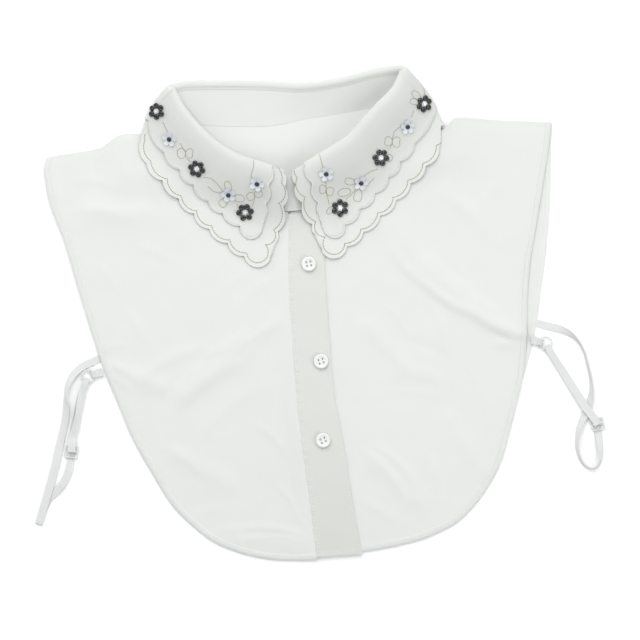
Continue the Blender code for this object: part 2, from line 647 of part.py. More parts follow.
def back_panel(collection):
    """The back, from the neck seam out to its shoulders, armholes and hem."""
    right = shift_inwards(RIGHT_FRONT_OUTLINE[:-1], BACK_INSET)
    right[0] = (RIGHT_SHOULDER[-1][0] + BACK_INSET, RIGHT_SHOULDER[-1][1])
    low_left = [point for point in LEFT_FRONT_OUTLINE if point[1] < BACK_LEFT_ARMHOLE[-1][1] - 8]
    left = BACK_LEFT_ARMHOLE + shift_inwards(low_left, BACK_INSET)[:-1]
    outer = with_distance(right + left[::-1])
    neck_first, neck_last = RIGHT_CREASE[0] + CREASE_SPAN, LEFT_CREASE[0]
    rows = len(BACK_NEAR_ROWS) + BACK_FAR_ROWS - 1

    def place(across, down):
        way = across / BACK_COLUMNS
        neck = rails(neck_first + (neck_last - neck_first) * way)[0]
        inner = Vector((neck.x, neck.y - BACK_NECK_GAP))
        if across == 0:
            inner = Vector(RIGHT_SHOULDER[0])
        elif across == BACK_COLUMNS:
            inner = Vector(LEFT_SHOULDER[0])
        edge = Vector(through(outer, way))
        reach = (edge - inner).length
        near = BACK_NEAR_ROWS[min(down, len(BACK_NEAR_ROWS) - 1)]
        far = max(0, down - len(BACK_NEAR_ROWS) + 1) / BACK_FAR_ROWS
        part = (near + (reach - near) * far) / reach
        point = inner.lerp(edge, part)
        for away, shoulder in ((across, RIGHT_SHOULDER), (BACK_COLUMNS - across, LEFT_SHOULDER)):
            if away < SHOULDER_COLUMNS:
                point += shoulder_shift(shoulder, part) * (1 - away / SHOULDER_COLUMNS)
        return Vector((point.x, point.y, neck_rise(point.x, point.y)))

    piece = new_object("back_panel", "cotton", collection)
    return sheet(piece, BACK_COLUMNS, rows, place, WALL, flip=True)


def right_front(collection):
    """The upper front, as far as the buttoned band."""
    def seam(y):
        return band_edges(y)[0] - BAND_CLEARANCE
    return front_panel("right_front", collection, RIGHT_FRONT_OUTLINE, RIGHT_SHOULDER,
                       (RIGHT_CREASE[0] - 0.3, 0.0), seam, right_front_underside, flip=False)


def left_front(collection):
    """The lower front, under the buttoned band."""
    def seam(y):
        return band_edges(y)[0] + UNDERLAP
    return front_panel("left_front", collection, LEFT_FRONT_OUTLINE, LEFT_SHOULDER,
                       (LEFT_CREASE[0] + CREASE_SPAN + 0.3, LAST_STATION), seam,
                       front_underside, flip=True)


def placket_band(collection):
    """Buttoned band on the right front's edge, over the left front."""
    def place(across, down):
        part = across / BAND_COLUMNS
        y = BAND_TOP_Y + (BAND_LOW_Y - BAND_TOP_Y) * down / BAND_ROWS
        stitched, folded = band_edges(y)
        x = stitched + (folded - stitched) * part
        if down == 0:
            y += BAND_TOP_SLANT * part
        return Vector((x, y, neck_rise(x, y) + 2 * LAYER))

    piece = new_object("placket_band", "band", collection)
    return sheet(piece, BAND_COLUMNS, BAND_ROWS, place, BAND_WALL, flip=True)


# Collar pieces

def leaf_edge(station):
    """Scalloped cut edge of the leaf's long side."""
    plain = RIGHT_COLLAR[-1][0] < station < LEFT_CREASE[0] + CREASE_SPAN
    if plain or station in (0.0, LAST_STATION):
        return leaf_point(station, 1.0)
    start = math.floor(station + 1e-6)
    end = min(LAST_STATION, start + 1)
    part = station - start
    away = rails(station)[3] - rails(station)[1]
    tip = start == 0 or end == LAST_STATION
    first, second = leaf_point(start, 1.0), leaf_point(end, 1.0)
    point = lobe(first, second, part, TIP_RISE if tip else LOBE_RISE, away)
    point.z = cover(point.x, point.y) + COLLAR_GAP
    return point


def leaf_side(station, down):
    """Scalloped centre front edge of a leaf."""
    table = RIGHT_TIP_EDGE if station == 0.0 else LEFT_TIP_EDGE
    cusps = [row[0] for row in table]
    here = max(i for i in range(len(cusps) - 1) if cusps[i] <= down + 1e-6)
    start, end = leaf_point(station, cusps[here]), leaf_point(station, cusps[here + 1])
    part = (down - cusps[here]) / (cusps[here + 1] - cusps[here])
    away = Vector((1.0 if station == 0.0 else -1.0, 0, 0))
    point = lobe(start, end, part, SIDE_RISES[here], away)
    return Vector((point.x, point.y, leaf_point(station, down).z))


def collar_leaf(collection):
    """The larger leaf: seam band, fold and scalloped fall."""
    downs = TURN_ROWS + FALL_ROWS
    stations = spaced(COLLAR_SPANS)

    def place(across, down):
        station, way = stations[across], downs[down]
        if down == len(downs) - 1:
            return leaf_edge(station)
        if station in (0.0, LAST_STATION) and way > 0:
            return leaf_side(station, way)
        if down == len(downs) - 2 and min(station, LAST_STATION - station) < 1:
            way = LAST_TIP_ROW
        return leaf_point(station, way)

    piece = new_object("collar_leaf", "cotton", collection)
    return sheet(piece, len(stations) - 1, len(downs) - 1, place, WALL, corners=True)


def station_under(x, y, station, down):
    """Station and way down of the leaf's surface at a place, from one near it."""
    for attempt in range(6):
        here = leaf_point(station, down)
        step = 0.01 if station < LAST_STATION / 2 else -0.01
        along = (leaf_point(station + step, down) - here) / step
        across = (leaf_point(station, down - 0.01) - here) / -0.01
        off_x, off_y = x - here.x, y - here.y
        size = along.x * across.y - along.y * across.x
        station += (off_x * across.y - off_y * across.x) / size
        down += (along.x * off_y - along.y * off_x) / size
        station = min(LAST_STATION, max(0.0, station))
        down = min(1.0, max(0.0, down))
    return station, down


def tier_row(station):
    """Row of the tier's cusps before a station, and how far on the next one it is."""
    here = max(i for i in range(len(TIER_EDGE) - 1)
               if TIER_EDGE[i][0] <= station + 1e-6 or i == 0)
    first, second = TIER_EDGE[here], TIER_EDGE[here + 1]
    return first, second, (station - first[0]) / (second[0] - first[0])


def tier_hem(station):
    """Where the tier's scalloped edge crosses the leaf, as station and way down."""
    first, second, part = tier_row(station)
    down = first[1] + (second[1] - first[1]) * part
    if not first[2] or part < 1e-6 or part > 1 - 1e-6:
        return station, down
    start, end = leaf_point(first[0], first[1]), leaf_point(second[0], second[1])
    neck, fold, lean, edge = rails((first[0] + second[0]) / 2)
    point = lobe(start, end, part, first[2], edge - fold)
    return station_under(point.x, point.y, station, down)


def upper_tier(collection):
    """The smaller scalloped leaf, the larger one's points moved out by a layer."""
    turns = len(TIER_TURN_ROWS)
    last = turns + len(TIER_FALL_ROWS)
    stations = spaced(TIER_SPANS)

    def place(across, down):
        column = stations[across]
        first, second, part = tier_row(column)
        deep = first[1] + (second[1] - first[1]) * part
        if down == last:
            station, way = tier_hem(column)
        else:
            way = (TIER_TURN_ROWS + TIER_FALL_ROWS)[down]
            way = min(way, deep - TIER_HEM_ROW)
            right = column < LAST_STATION / 2
            end = stations[0] if right else stations[-1]
            side = through(RIGHT_TIER_FRONT if right else LEFT_TIER_FRONT, way)[0]
            near = max(0.0, 1 - abs(column - end) / TIER_FRONT_REACH)
            station = column + (side - end) * near ** 1.5
        return leaf_point(station, way) + leaf_outward(station, way) * tier_lift(station, way)

    piece = new_object("upper_tier", "tier", collection)
    return sheet(piece, len(stations) - 1, last, place, WALL, flip=False)


def collar_stand(collection):
    """The band round the neck that carries the leaves, lapped at centre front."""
    stations = [-1.0, -0.5] + spaced(STAND_SPANS) + [30.5, 31.0]

    def place(across, down):
        station = min(LAST_STATION, max(0.0, stations[across]))
        way = fold_way(station, SEAM_BELOW_FOLD) * down / STAND_ROWS
        past = stations[across] - station
        lap = RIGHT_LAP if past < 0 else LEFT_LAP
        return stand_point(station, way) - Vector((past * lap, 0, 0))

    piece = new_object("collar_stand", "stand", collection)
    return sheet(piece, len(stations) - 1, STAND_ROWS, place, WALL, flip=False)


# Buttons

def button_profile():
    """Half section of a button: a raised rim round a dished middle."""
    half = BUTTON_THICKNESS / 2
    return [
        (0.0, -half), (BUTTON_RADIUS - 1.2, -half), (BUTTON_RADIUS - 0.3, -half + 0.5),
        (BUTTON_RADIUS, 0.1), (BUTTON_RADIUS - 0.5, half - 0.1), (BUTTON_RADIUS - 1.2, half),
        (BUTTON_RADIUS - 2.0, half - 0.5), (0.0, half - 0.5),
    ]


def button(name, x, y, collection, cutters):
    """Turned four-hole button that lies on the band."""
    piece = new_object(name, "button", collection, roughness=0.25)
    shape = bmesh.new()
    points = [shape.verts.new((r * MM, 0, z * MM)) for r, z in button_profile()]
    for first, second in zip(points, points[1:]):
        shape.edges.new((first, second))
    bmesh.ops.spin(shape, geom=shape.verts[:] + shape.edges[:], cent=(0, 0, 0),
                   axis=(0, 0, 1), angle=2 * math.pi, steps=16, use_duplicate=False)
    bmesh.ops.remove_doubles(shape, verts=shape.verts, dist=0.00001)
    bmesh.ops.recalc_face_normals(shape, faces=shape.faces)
    shape.to_mesh(piece.data)
    shape.free()
    top = neck_rise(x, y) + 2 * LAYER + BAND_WALL
    piece.location = Vector((x, y, top + SEAM + BUTTON_THICKNESS / 2)) * MM
    holes = bpy.data.objects.new(name + "_holes", bpy.data.meshes.new(name + "_holes"))
    shape = bmesh.new()
    for turn in range(4):
        angle = math.pi / 4 + turn * math.pi / 2
        made = bmesh.ops.create_cone(shape, cap_ends=True, segments=6,
                                     radius1=THREAD_HOLE_RADIUS * MM,
                                     radius2=THREAD_HOLE_RADIUS * MM,
                                     depth=3 * BUTTON_THICKNESS * MM)
        spread = THREAD_HOLE_SPREAD * math.sqrt(2) * MM
        shift = Vector((math.cos(angle), math.sin(angle), 0)) * spread
        bmesh.ops.translate(shape, verts=made["verts"], vec=shift)
    shape.to_mesh(holes.data)
    shape.free()
    holes.location = piece.location
    holes.hide_render = True
    holes.display_type = "WIRE"
    cutters.objects.link(holes)
    cut = piece.modifiers.new("Thread holes", "BOOLEAN")
    cut.object = holes
    cut.solver = "EXACT"
    return piece


# Straps, tabs, rings and sliders

def ribbon(name, colour, collection, centres, widths, tilts):
    """Flat tape along a route, tilted about it where it bends."""
    count = len(centres)
    for centre, width, tilt in zip(centres, widths, tilts):
        lean = math.radians(tilt)
        least = (STRAP_WALL * math.cos(lean) + width * math.sin(lean)) / 2
        centre.z = max(centre.z, least + 0.16 * (tilt > 0))
    sides = []
    side = None
    for index in range(count):
        ahead, behind = centres[min(index + 1, count - 1)], centres[max(index - 1, 0)]
        along = (ahead - behind).normalized()
        if side is None:
            side = Vector((0, 0, 1)).cross(along)
        side = (side - along * side.dot(along)).normalized()
        level = Vector((side.x, side.y, 0)).normalized()
        side = (level - along * level.dot(along)).normalized()
        normal = along.cross(side).normalized()
        sign = 1 if normal.z >= 0 else -1
        tilt = math.radians(tilts[index]) * sign
        sides.append(side * math.cos(tilt) + normal * math.sin(tilt))

    def place(across, down):
        half = widths[across] / 2
        return centres[across] + sides[across] * half * (1 if down else -1)

    piece = new_object(name, colour, collection, roughness=0.7)
    sheet(piece, count - 1, 1, place, STRAP_WALL)
    piece.modifiers["Wall"].offset = 0.0
    return piece


def sampled(rows, steps):
    """Evenly spaced rows of a route."""
    table = with_distance(rows)
    return [through(table, step / steps) for step in range(steps + 1)]


def strap_run(name, collection, rows, returned, steps):
    """Single tape from the back panel to the slider, with its folded end if it has one."""
    values = sampled(rows, steps)
    if returned:
        values += sampled(returned, steps // 2)
    centres = [Vector(value[:3]) for value in values]
    if returned:
        last, following = centres[steps], centres[steps + 1]
        out = (last - centres[steps - 1]).normalized()
        middle = (last + following) / 2 + Vector((out.x, out.y, 0)) * LAYER_HALF
        centres.insert(steps + 1, middle)
        values.insert(steps + 1, [0, 0, 0, 0])
    widths = [STRAP_WIDTH] * len(centres)
    return ribbon(name, "elastic", collection, centres, widths, [v[3] for v in values])


def looped_tape(name, collection, rows, ring, steps):
    """Doubled tape that turns round a ring at its far end."""
    values = sampled(rows, steps)
    centre = Vector((ring[0], ring[1], RING_HEIGHT))
    ends = [Vector(value[:3]) for value in values]
    towards = (centre - ends[-1])
    towards.z = 0
    towards.normalize()
    bar = centre - towards * (RING_RADIUS - 0.4)
    lower, upper, tilts, widths = [], [], [], []
    for index, (value, point) in enumerate(zip(values, ends)):
        part = index / steps
        half = LAYER_HALF + (LOOP_HALF - LAYER_HALF) * smooth((part - 0.7) / 0.3)
        half += 0.35 * smooth(value[3] / 30)
        ahead, behind = ends[min(index + 1, steps)], ends[max(index - 1, 0)]
        along = (ahead - behind).normalized()
        level = Vector((0, 0, 1)).cross(along).normalized()
        upright = along.cross(level).normalized()
        tilt = math.radians(value[3])
        normal = upright * math.cos(tilt) - level * math.sin(tilt)
        lower.append(point - normal * half)
        upper.append(point + normal * half)
        tilts.append(value[3])
        widths.append(STRAP_WIDTH + (LOOP_WIDTH - STRAP_WIDTH) * smooth((part - 0.6) / 0.4))
    turn = []
    for step in range(7):
        angle = -math.pi / 2 + math.pi * step / 6
        turn.append(bar + towards * LOOP_HALF * math.cos(angle)
                    + Vector((0, 0, 1)) * LOOP_HALF * math.sin(angle))
    centres = lower + turn + upper[::-1]
    widths = widths + [LOOP_WIDTH] * len(turn) + widths[::-1]
    tilts = tilts + [0.0] * len(turn) + tilts[::-1]
    return ribbon(name, "elastic", collection, centres, widths, tilts)


def ring(name, collection, spec):
    """Clear plastic ring that lies level."""
    piece = new_object(name, "clear_plastic", collection, roughness=0.2)
    shape = bmesh.new()
    bmesh.ops.create_circle(shape, segments=6, radius=RING_WIRE * MM)
    for vertex in shape.verts:
        vertex.co = Vector((vertex.co.x + RING_RADIUS * MM, 0, vertex.co.y))
    bmesh.ops.spin(shape, geom=shape.verts[:] + shape.edges[:], cent=(0, 0, 0),
                   axis=(0, 0, 1), angle=2 * math.pi, steps=16, use_duplicate=False)
    bmesh.ops.remove_doubles(shape, verts=shape.verts, dist=0.00001)
    bmesh.ops.recalc_face_normals(shape, faces=shape.faces)
    shape.to_mesh(piece.data)
    shape.free()
    piece.location = Vector((spec[0], spec[1], RING_HEIGHT)) * MM
    return piece


def tab(name, collection, spec):
    """Short doubled tape from the front's hem to the ring."""
    away = Vector((math.cos(math.radians(spec[3])), math.sin(math.radians(spec[3])), 0))
    centre = Vector((spec[0], spec[1], 0))
    rows = []
    for part in (1.0, 0.8, 0.55, 0.42):
        point = centre + away * (TAB_LENGTH * part)
        rows.append((point.x, point.y, TAB_HEIGHT, 0))
    return looped_tape(name, collection, rows, spec, 6)


def slider(name, collection, x, y, heading):
    """Small frame with a middle bar, threaded on the tape."""
    piece = new_object(name, "clear_plastic", collection, roughness=0.2)
    shape = bmesh.new()
    bmesh.ops.create_cube(shape, size=1.0)
    size = Vector((SLIDER_LENGTH, SLIDER_WIDTH, WALL)) * MM
    bmesh.ops.scale(shape, vec=size, verts=shape.verts)
    shape.to_mesh(piece.data)
    shape.free()
    piece.location = Vector((x, y, SLIDER_HEIGHT)) * MM
    piece.rotation_euler = (0, 0, math.radians(heading))
    return piece


def slider_windows(piece, cutters):
    """Two windows either side of the slider's middle bar."""
    name = piece.name + "_windows"
    holes = bpy.data.objects.new(name, bpy.data.meshes.new(name))
    window = (SLIDER_LENGTH - 3 * SLIDER_BAR) / 2
    shape = bmesh.new()
    for side in (-1, 1):
        made = bmesh.ops.create_cube(shape, size=1.0)
        size = Vector((window, SLIDER_WIDTH - 2 * SLIDER_BAR, 4 * WALL)) * MM
        bmesh.ops.scale(shape, vec=size, verts=made["verts"])
        shift = Vector((side * (window + SLIDER_BAR) / 2, 0, 0)) * MM
        bmesh.ops.translate(shape, vec=shift, verts=made["verts"])
    shape.to_mesh(holes.data)
    shape.free()
    holes.location = piece.location
    holes.rotation_euler = piece.rotation_euler
    holes.hide_render = True
    holes.display_type = "WIRE"
    cutters.objects.link(holes)
    cut = piece.modifiers.new("Windows", "BOOLEAN")
    cut.object = holes
    cut.solver = "EXACT"


def main():
    """Builds every piece of the collar."""
    for existing in list(bpy.data.objects):
        bpy.data.objects.remove(existing, do_unlink=True)
    collar = bpy.data.collections.new("detachable_collar")
    cutters = bpy.data.collections.new("cutters")
    bpy.context.scene.collection.children.link(collar)
    bpy.context.scene.collection.children.link(cutters)

    back_panel(collar)
    right_front(collar)
    left_front(collar)
    placket_band(collar)
    collar_stand(collar)
    collar_leaf(collar)
    upper_tier(collar)
    for number, (x, y) in enumerate(BUTTONS, 1):
        button("button_" + str(number), x, y, collar, cutters)
    strap_run("right_strap", collar, RIGHT_RUN, RIGHT_RETURN, 22)
    strap_run("left_strap", collar, LEFT_RUN, None, 36)
    looped_tape("right_strap_loop", collar, RIGHT_DOUBLE, RIGHT_RING, 20)
    looped_tape("left_strap_loop", collar, LEFT_DOUBLE, LEFT_RING, 14)
    for side, spec in (("right", RIGHT_RING), ("left", LEFT_RING)):
        ring(side + "_ring", collar, spec)
        tab(side + "_tab", collar, spec)
    slider_windows(slider("right_slider", collar, *RIGHT_SLIDER), cutters)
    slider_windows(slider("left_slider", collar, *LEFT_SLIDER), cutters)


main()
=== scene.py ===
import functools
import math
import random

import bmesh
import bpy
import numpy as np
from mathutils import Matrix, Vector, kdtree, noise
from mathutils.bvhtree import BVHTree


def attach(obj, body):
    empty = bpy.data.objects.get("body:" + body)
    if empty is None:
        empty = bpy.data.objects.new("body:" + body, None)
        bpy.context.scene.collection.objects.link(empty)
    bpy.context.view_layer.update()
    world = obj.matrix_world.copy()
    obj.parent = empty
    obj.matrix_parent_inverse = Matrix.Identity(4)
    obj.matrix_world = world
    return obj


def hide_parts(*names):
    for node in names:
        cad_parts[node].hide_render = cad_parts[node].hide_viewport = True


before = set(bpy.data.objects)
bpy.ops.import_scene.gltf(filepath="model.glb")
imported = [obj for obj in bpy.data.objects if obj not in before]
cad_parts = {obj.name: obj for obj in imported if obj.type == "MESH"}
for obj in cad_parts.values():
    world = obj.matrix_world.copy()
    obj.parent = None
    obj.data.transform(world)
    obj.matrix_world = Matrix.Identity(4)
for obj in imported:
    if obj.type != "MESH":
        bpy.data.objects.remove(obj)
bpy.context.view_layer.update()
mm = 0.001

# Cloth and seams
clothWall = 1.0
seamGap = 0.3
layerStep = clothWall + seamGap
bandWall = 1.4
hemWidth = 3.4
hemRise = 0.4

# The body rises over the two collar layers folded under the back of the neck
layersUnder = 2 * layerStep
riseStartY, riseFullY = 98.0, 122.0
riseLeftX, riseRightX = -113.0, 107.0
riseRun = 24.0
frontEarly, collarEarly = 8.0, 13.0

# Collar fold, seam and scallops
foldRadius = 0.7
tierSlack = 0.3
foldProud = foldRadius + layerStep + tierSlack + clothWall
seamBelowFold, bandBelowFold = 4.2, 3.6
collarGap = 0.5
rollEnd = math.radians(150)
frontDrop, sideDrop, backDrop = 43.0, 40.0, 19.0
sideBulge = 3.4
lobeRise = 3.0
tipRise = 11.8

# Hardware
buttonRadius, buttonThickness = 5.3, 2.2
threadHoleRadius, threadHoleSpread = 0.8, 1.35
strapWidth, strapWall = 6.0, 1.0
ringRadius, ringWire = 4.5, 0.6
sliderLength, sliderWidth, sliderBar = 9.0, 9.4, 1.1

# Body outlines from the shoulder tip down the armhole to the middle of the hem: x, y
rightFrontOutline = [
    (-178.5, 128.4), (-181.3, 121.0), (-180.6, 112.8), (-179.2, 98.4), (-175.2, 83.8),
    (-170.5, 69.2), (-164.0, 40.1), (-157.4, 11.0), (-150.1, -18.1), (-140.7, -47.4),
    (-130.6, -76.8), (-116.2, -106.4), (-106.7, -124.2), (-96.9, -136.4), (-80.0, -151.9),
    (-60.7, -161.8), (-39.7, -167.9), (-18.4, -170.5), (-6.6, -170.6),
]
leftFrontOutline = [
    (182.1, 128.6), (180.9, 121.5), (178.7, 109.2), (174.6, 91.6), (170.5, 74.0),
    (165.5, 52.8), (160.4, 31.7), (157.1, 10.5), (154.9, -10.8), (152.6, -32.2),
    (148.7, -53.3), (144.2, -67.3), (135.1, -95.3), (129.8, -109.3), (121.7, -123.0),
    (111.4, -136.6), (96.9, -149.9), (82.8, -156.8), (66.0, -162.1), (32.7, -166.9),
    (10.3, -168.4), (-4.6, -168.8),
]
# The back panel's left armhole, where it looks out past the front: x, y
backLeftArmhole = [
    (182.8, 128.6), (181.9, 119.0), (180.8, 109.0), (179.2, 91.2), (177.6, 73.5),
    (174.7, 52.2), (171.1, 31.0), (166.7, 9.8), (162.4, -11.4), (156.6, -32.4),
    (148.6, -54.0),
]
backInset = 2.5
backNeckGap, frontNeckGap = 1.3, 1.1

# Shoulder seams from the neck to the tip: x, y
rightShoulder = [
    (-84.2, 143.0), (-95.0, 141.4), (-106.0, 140.6), (-112.0, 140.6), (-125.4, 140.9),
    (-140.3, 132.9), (-169.1, 129.9), (-178.5, 128.4),
]
leftShoulder = [
    (74.6, 145.0), (88.0, 137.0), (98.0, 131.0), (104.0, 128.4), (109.0, 131.6),
    (114.1, 136.4), (146.0, 132.9), (182.1, 128.8),
]

# Buttoned band: y, its stitched edge x, its folded edge x
bandTable = [
    (-169.5, -6.1, 25.9), (-128.3, -8.3, 21.6), (-92.3, -10.7, 18.6), (-56.4, -12.3, 14.4),
    (-6.3, -12.6, 13.5), (36.6, -11.8, 13.9), (58.0, -10.3, 15.2), (76.0, -9.3, 16.6),
]
bandRamp = 14.0
underlap = 1.5

# Largest folds of the front: x and y of one end, of the other end, half width, height
foldTable = [
    (145.0, -20.0, 112.0, 6.0, 9.0, 2.2), (112.0, 6.0, 84.0, 34.0, 10.0, 2.0),
    (84.0, 34.0, 62.0, 62.0, 9.0, 1.2), (42.0, -8.0, 66.0, -36.0, 6.5, 1.0),
    (-92.0, -46.0, -48.0, -12.0, 8.0, 1.3), (-46.0, -18.0, -22.0, 2.0, 7.0, 1.0),
    (-60.0, -152.0, -16.0, -161.0, 5.0, 0.8), (40.0, -104.0, 66.0, -132.0, 6.5, 0.9),
    (-134.0, -28.0, -108.0, -40.0, 6.0, 1.2), (-150.0, 92.0, -112.0, 86.0, 7.0, 0.9),
    (96.0, -78.0, 116.0, -116.0, 7.0, 0.9), (-100.0, -90.0, -66.0, -112.0, 7.0, 0.8),
]

# Collar stations, one for each scallop of the long edge.
# Station, fold x, y, z, neck seam x, y, cut edge x, y
rightCollar = [
    (0.0, -10.3, 109.2, 18.6, -10.5, 78.4, -24.2, 54.6),
    (1.0, -19.3, 112.6, 18.4, -19.0, 80.8, -43.1, 48.8),
    (2.0, -30.4, 117.2, 18.2, -29.8, 85.6, -54.1, 58.9),
    (3.0, -41.6, 121.8, 18.2, -41.0, 91.6, -66.5, 69.9),
    (4.0, -52.5, 128.9, 18.1, -52.0, 99.2, -76.4, 81.5),
    (5.0, -62.0, 137.5, 18.0, -61.6, 108.4, -86.5, 93.0),
    (6.0, -70.5, 147.6, 18.0, -70.2, 118.4, -97.1, 106.5),
    (7.0, -77.4, 157.6, 18.2, -77.0, 128.6, -107.6, 119.4),
    (8.0, -81.9, 166.9, 18.3, -80.4, 137.4, -110.4, 136.0),
]
backCollar = [
    (10.0, -76.0, 175.8, 13.3, -74.0, 145.0, -96.0, 134.8),
    (12.0, -48.0, 174.3, 12.8, -46.6, 141.8, -68.0, 129.8),
    (14.0, -20.0, 172.0, 12.8, -18.0, 140.2, -24.0, 127.8),
    (16.0, 6.0, 168.6, 13.8, 8.0, 143.4, 10.0, 127.4),
    (18.0, 32.0, 169.8, 15.8, 32.3, 145.2, 44.0, 128.2),
    (20.0, 62.0, 174.6, 18.2, 57.6, 148.2, 80.0, 130.0),
]
leftCollar = [
    (23.0, 70.4, 160.8, 22.6, 67.6, 130.4, 101.2, 116.1),
    (24.0, 58.5, 150.4, 21.8, 56.4, 120.0, 90.6, 103.9),
    (25.0, 47.7, 140.2, 20.8, 46.4, 109.8, 79.0, 92.6),
    (26.0, 38.5, 131.0, 20.0, 36.8, 100.6, 67.8, 81.1),
    (27.0, 26.5, 123.8, 19.2, 26.0, 92.4, 55.9, 70.8),
    (28.0, 15.5, 118.4, 18.4, 15.2, 85.8, 43.1, 60.0),
    (29.0, 5.1, 112.9, 17.4, 5.0, 81.0, 30.8, 50.7),
    (30.0, -3.9, 108.7, 16.8, -3.9, 78.4, 13.2, 57.4),
]
# Side creases: first station, middle of the fold's turn x, y, z, of the neck's turn x, y,
# edge x, y
rightCrease = (8.5, -84.6, 173.4, 16.0, -81.6, 143.6, -107.2, 142.3)
leftCrease = (21.5, 77.6, 174.0, 21.0, 71.6, 146.6, 103.4, 131.4)
creaseSpan, creaseSteps = 0.5, 6
foldCorner, neckCorner = 2.6, 1.15
lastStation = 30.0

# Cusps of the two centre front edges, from the fold to the tip: way down, x, y
rightTipEdge = [
    (0.0, -10.3, 109.2), (0.18, -10.2, 98.0), (0.43, -12.9, 83.6), (0.77, -18.2, 65.2),
    (1.0, -24.2, 54.6),
]
leftTipEdge = [
    (0.0, -3.9, 108.7), (0.18, -2.9, 99.6), (0.43, 1.3, 85.6), (0.77, 7.5, 68.6),
    (1.0, 13.2, 57.4),
]

# Upper tier's cusps: leaf station, way down the leaf, rise of the scallop that follows
tierEdge = [
    (0.73, 0.609, 10.8), (1.67, 0.728, 3.2), (2.70, 0.725, 3.2), (3.59, 0.705, 3.3),
    (4.62, 0.668, 3.3), (5.54, 0.655, 3.3), (6.57, 0.653, 3.8), (8.4, 0.70, 0.0),
    (9.6, 0.72, 0.0), (15.0, 0.72, 0.0), (20.5, 0.72, 0.0), (21.7, 0.68, 2.6),
    (23.75, 0.682, 3.2), (24.78, 0.699, 3.2), (25.64, 0.711, 3.2), (26.61, 0.747, 3.2),
    (27.59, 0.767, 3.2), (28.59, 0.781, 10.9), (29.42, 0.687, 0.0),
]
# Its centre front edges: way down the tier, leaf station, rise of the scallop that follows
rightTierFront = [(0.0, 0.91, 2.6), (0.29, 0.87, 3.2), (0.63, 0.72, 3.2), (1.0, 0.73, 0.0)]
leftTierFront = [(0.0, 29.03, 2.6), (0.29, 29.09, 3.0), (0.63, 29.32, 3.0), (1.0, 29.42, 0.0)]
tierReach = 1.1

buttonPlaces = [(2.6, 40.0), (6.5, -29.9), (4.0, -86.2)]

# Straps, run from the back panel to the slider: x, y, height of the middle, tilt in degrees
rightRun = [
    (-151.3, -16.7, 0.5, 0), (-155.9, -18.8, 0.5, 0), (-163.3, -21.7, 0.7, 8),
    (-170.1, -26.8, 1.3, 25), (-174.9, -34.3, 2.2, 48), (-176.9, -42.6, 2.6, 62),
    (-177.2, -50.6, 1.6, 28), (-178.9, -60.5, 0.8, 6), (-182.6, -73.1, 1.0, 0),
    (-186.5, -87.2, 1.8, 0), (-190.4, -99.1, 1.9, 0), (-194.7, -111.4, 1.9, 0),
    (-199.0, -122.5, 1.9, 0), (-202.3, -131.2, 1.8, 0),
]
rightReturn = [
    (-202.3, -131.2, 0.5, 0), (-198.3, -121.6, 0.5, 0), (-193.8, -114.0, 0.5, 0),
    (-188.8, -109.6, 0.7, 10), (-183.4, -104.0, 1.6, 30), (-179.2, -96.6, 1.2, 20),
    (-176.8, -89.3, 0.5, 0), (-175.6, -82.9, 0.5, 0),
]
leftRun = [
    (160.6, -13.0, 0.5, 0), (163.2, -13.9, 0.5, 0), (167.8, -15.6, 0.5, 0),
    (176.0, -18.2, 0.6, 6), (183.6, -21.7, 1.8, 40), (190.0, -27.7, 2.8, 72),
    (194.2, -36.2, 3.0, 79), (196.3, -46.6, 3.0, 76), (197.7, -56.8, 2.9, 70),
    (197.4, -65.4, 2.6, 58), (195.6, -72.7, 1.6, 32), (192.6, -79.7, 1.0, 18),
    (188.6, -86.7, 1.7, 36), (185.7, -94.4, 2.5, 58), (184.6, -103.1, 2.8, 66),
    (185.9, -111.4, 3.0, 74), (189.6, -117.8, 3.1, 78), (194.8, -119.8, 3.1, 76),
    (199.2, -116.6, 2.9, 68), (200.9, -109.6, 2.3, 48), (200.7, -101.6, 1.2, 22),
    (200.4, -95.0, 0.5, 0),
    (200.2, -89.6, 0.5, 0),
]
# Doubled tapes from the slider to the ring: x, y, height of the middle, tilt
rightDouble = [
    (-175.6, -82.0, 3.9, 0), (-174.9, -77.0, 3.9, 0), (-173.9, -71.0, 2.4, 8),
    (-171.9, -64.3, 3.0, 24), (-169.4, -54.7, 4.0, 44), (-167.1, -46.6, 3.0, 22),
    (-164.9, -39.5, 2.2, 4), (-162.9, -34.6, 2.4, 0),
]
leftDouble = [
    (200.2, -88.6, 3.9, 0), (197.6, -83.6, 4.0, 0), (192.2, -75.4, 3.9, 0),
    (186.4, -64.6, 3.0, 0), (180.2, -53.0, 2.0, 0), (174.4, -42.4, 2.0, 0),
    (170.2, -34.6, 2.4, 0),
]
# Rings: centre x, y, direction of the strap and of the tab in degrees
rightRing = (-159.9, -28.9, 243.0, 14.0)
leftRing = (167.2, -28.2, 295.0, 163.0)
ringHeight = 2.4
tabLength = 10.6
loopHalf, layerHalf = 1.8, 0.65
loopWidth = 5.0
tabHeight = 2.45

def smooth(value):
    # Soft step from 0 to 1.
    value = min(1.0, max(0.0, value))
    return value * value * (3 - 2 * value)


def through(rows, at):
    # Values of a table at a place in its first column, on a smooth curve through its rows.
    if at <= rows[0][0]:
        return list(rows[0][1:])
    if at >= rows[-1][0]:
        return list(rows[-1][1:])
    here = max(i for i in range(len(rows) - 1) if rows[i][0] <= at)
    before, start = rows[max(here - 1, 0)], rows[here]
    end, after = rows[here + 1], rows[min(here + 2, len(rows) - 1)]
    span = end[0] - start[0]
    part = (at - start[0]) / span
    square, cube = part * part, part * part * part
    values = []
    for column in range(1, len(start)):
        leave = span * (end[column] - before[column]) / (end[0] - before[0])
        arrive = span * (after[column] - start[column]) / (after[0] - start[0])
        values.append(
            start[column] * (2 * cube - 3 * square + 1) + leave * (cube - 2 * square + part)
            + end[column] * (3 * square - 2 * cube) + arrive * (cube - square)
        )
    return values


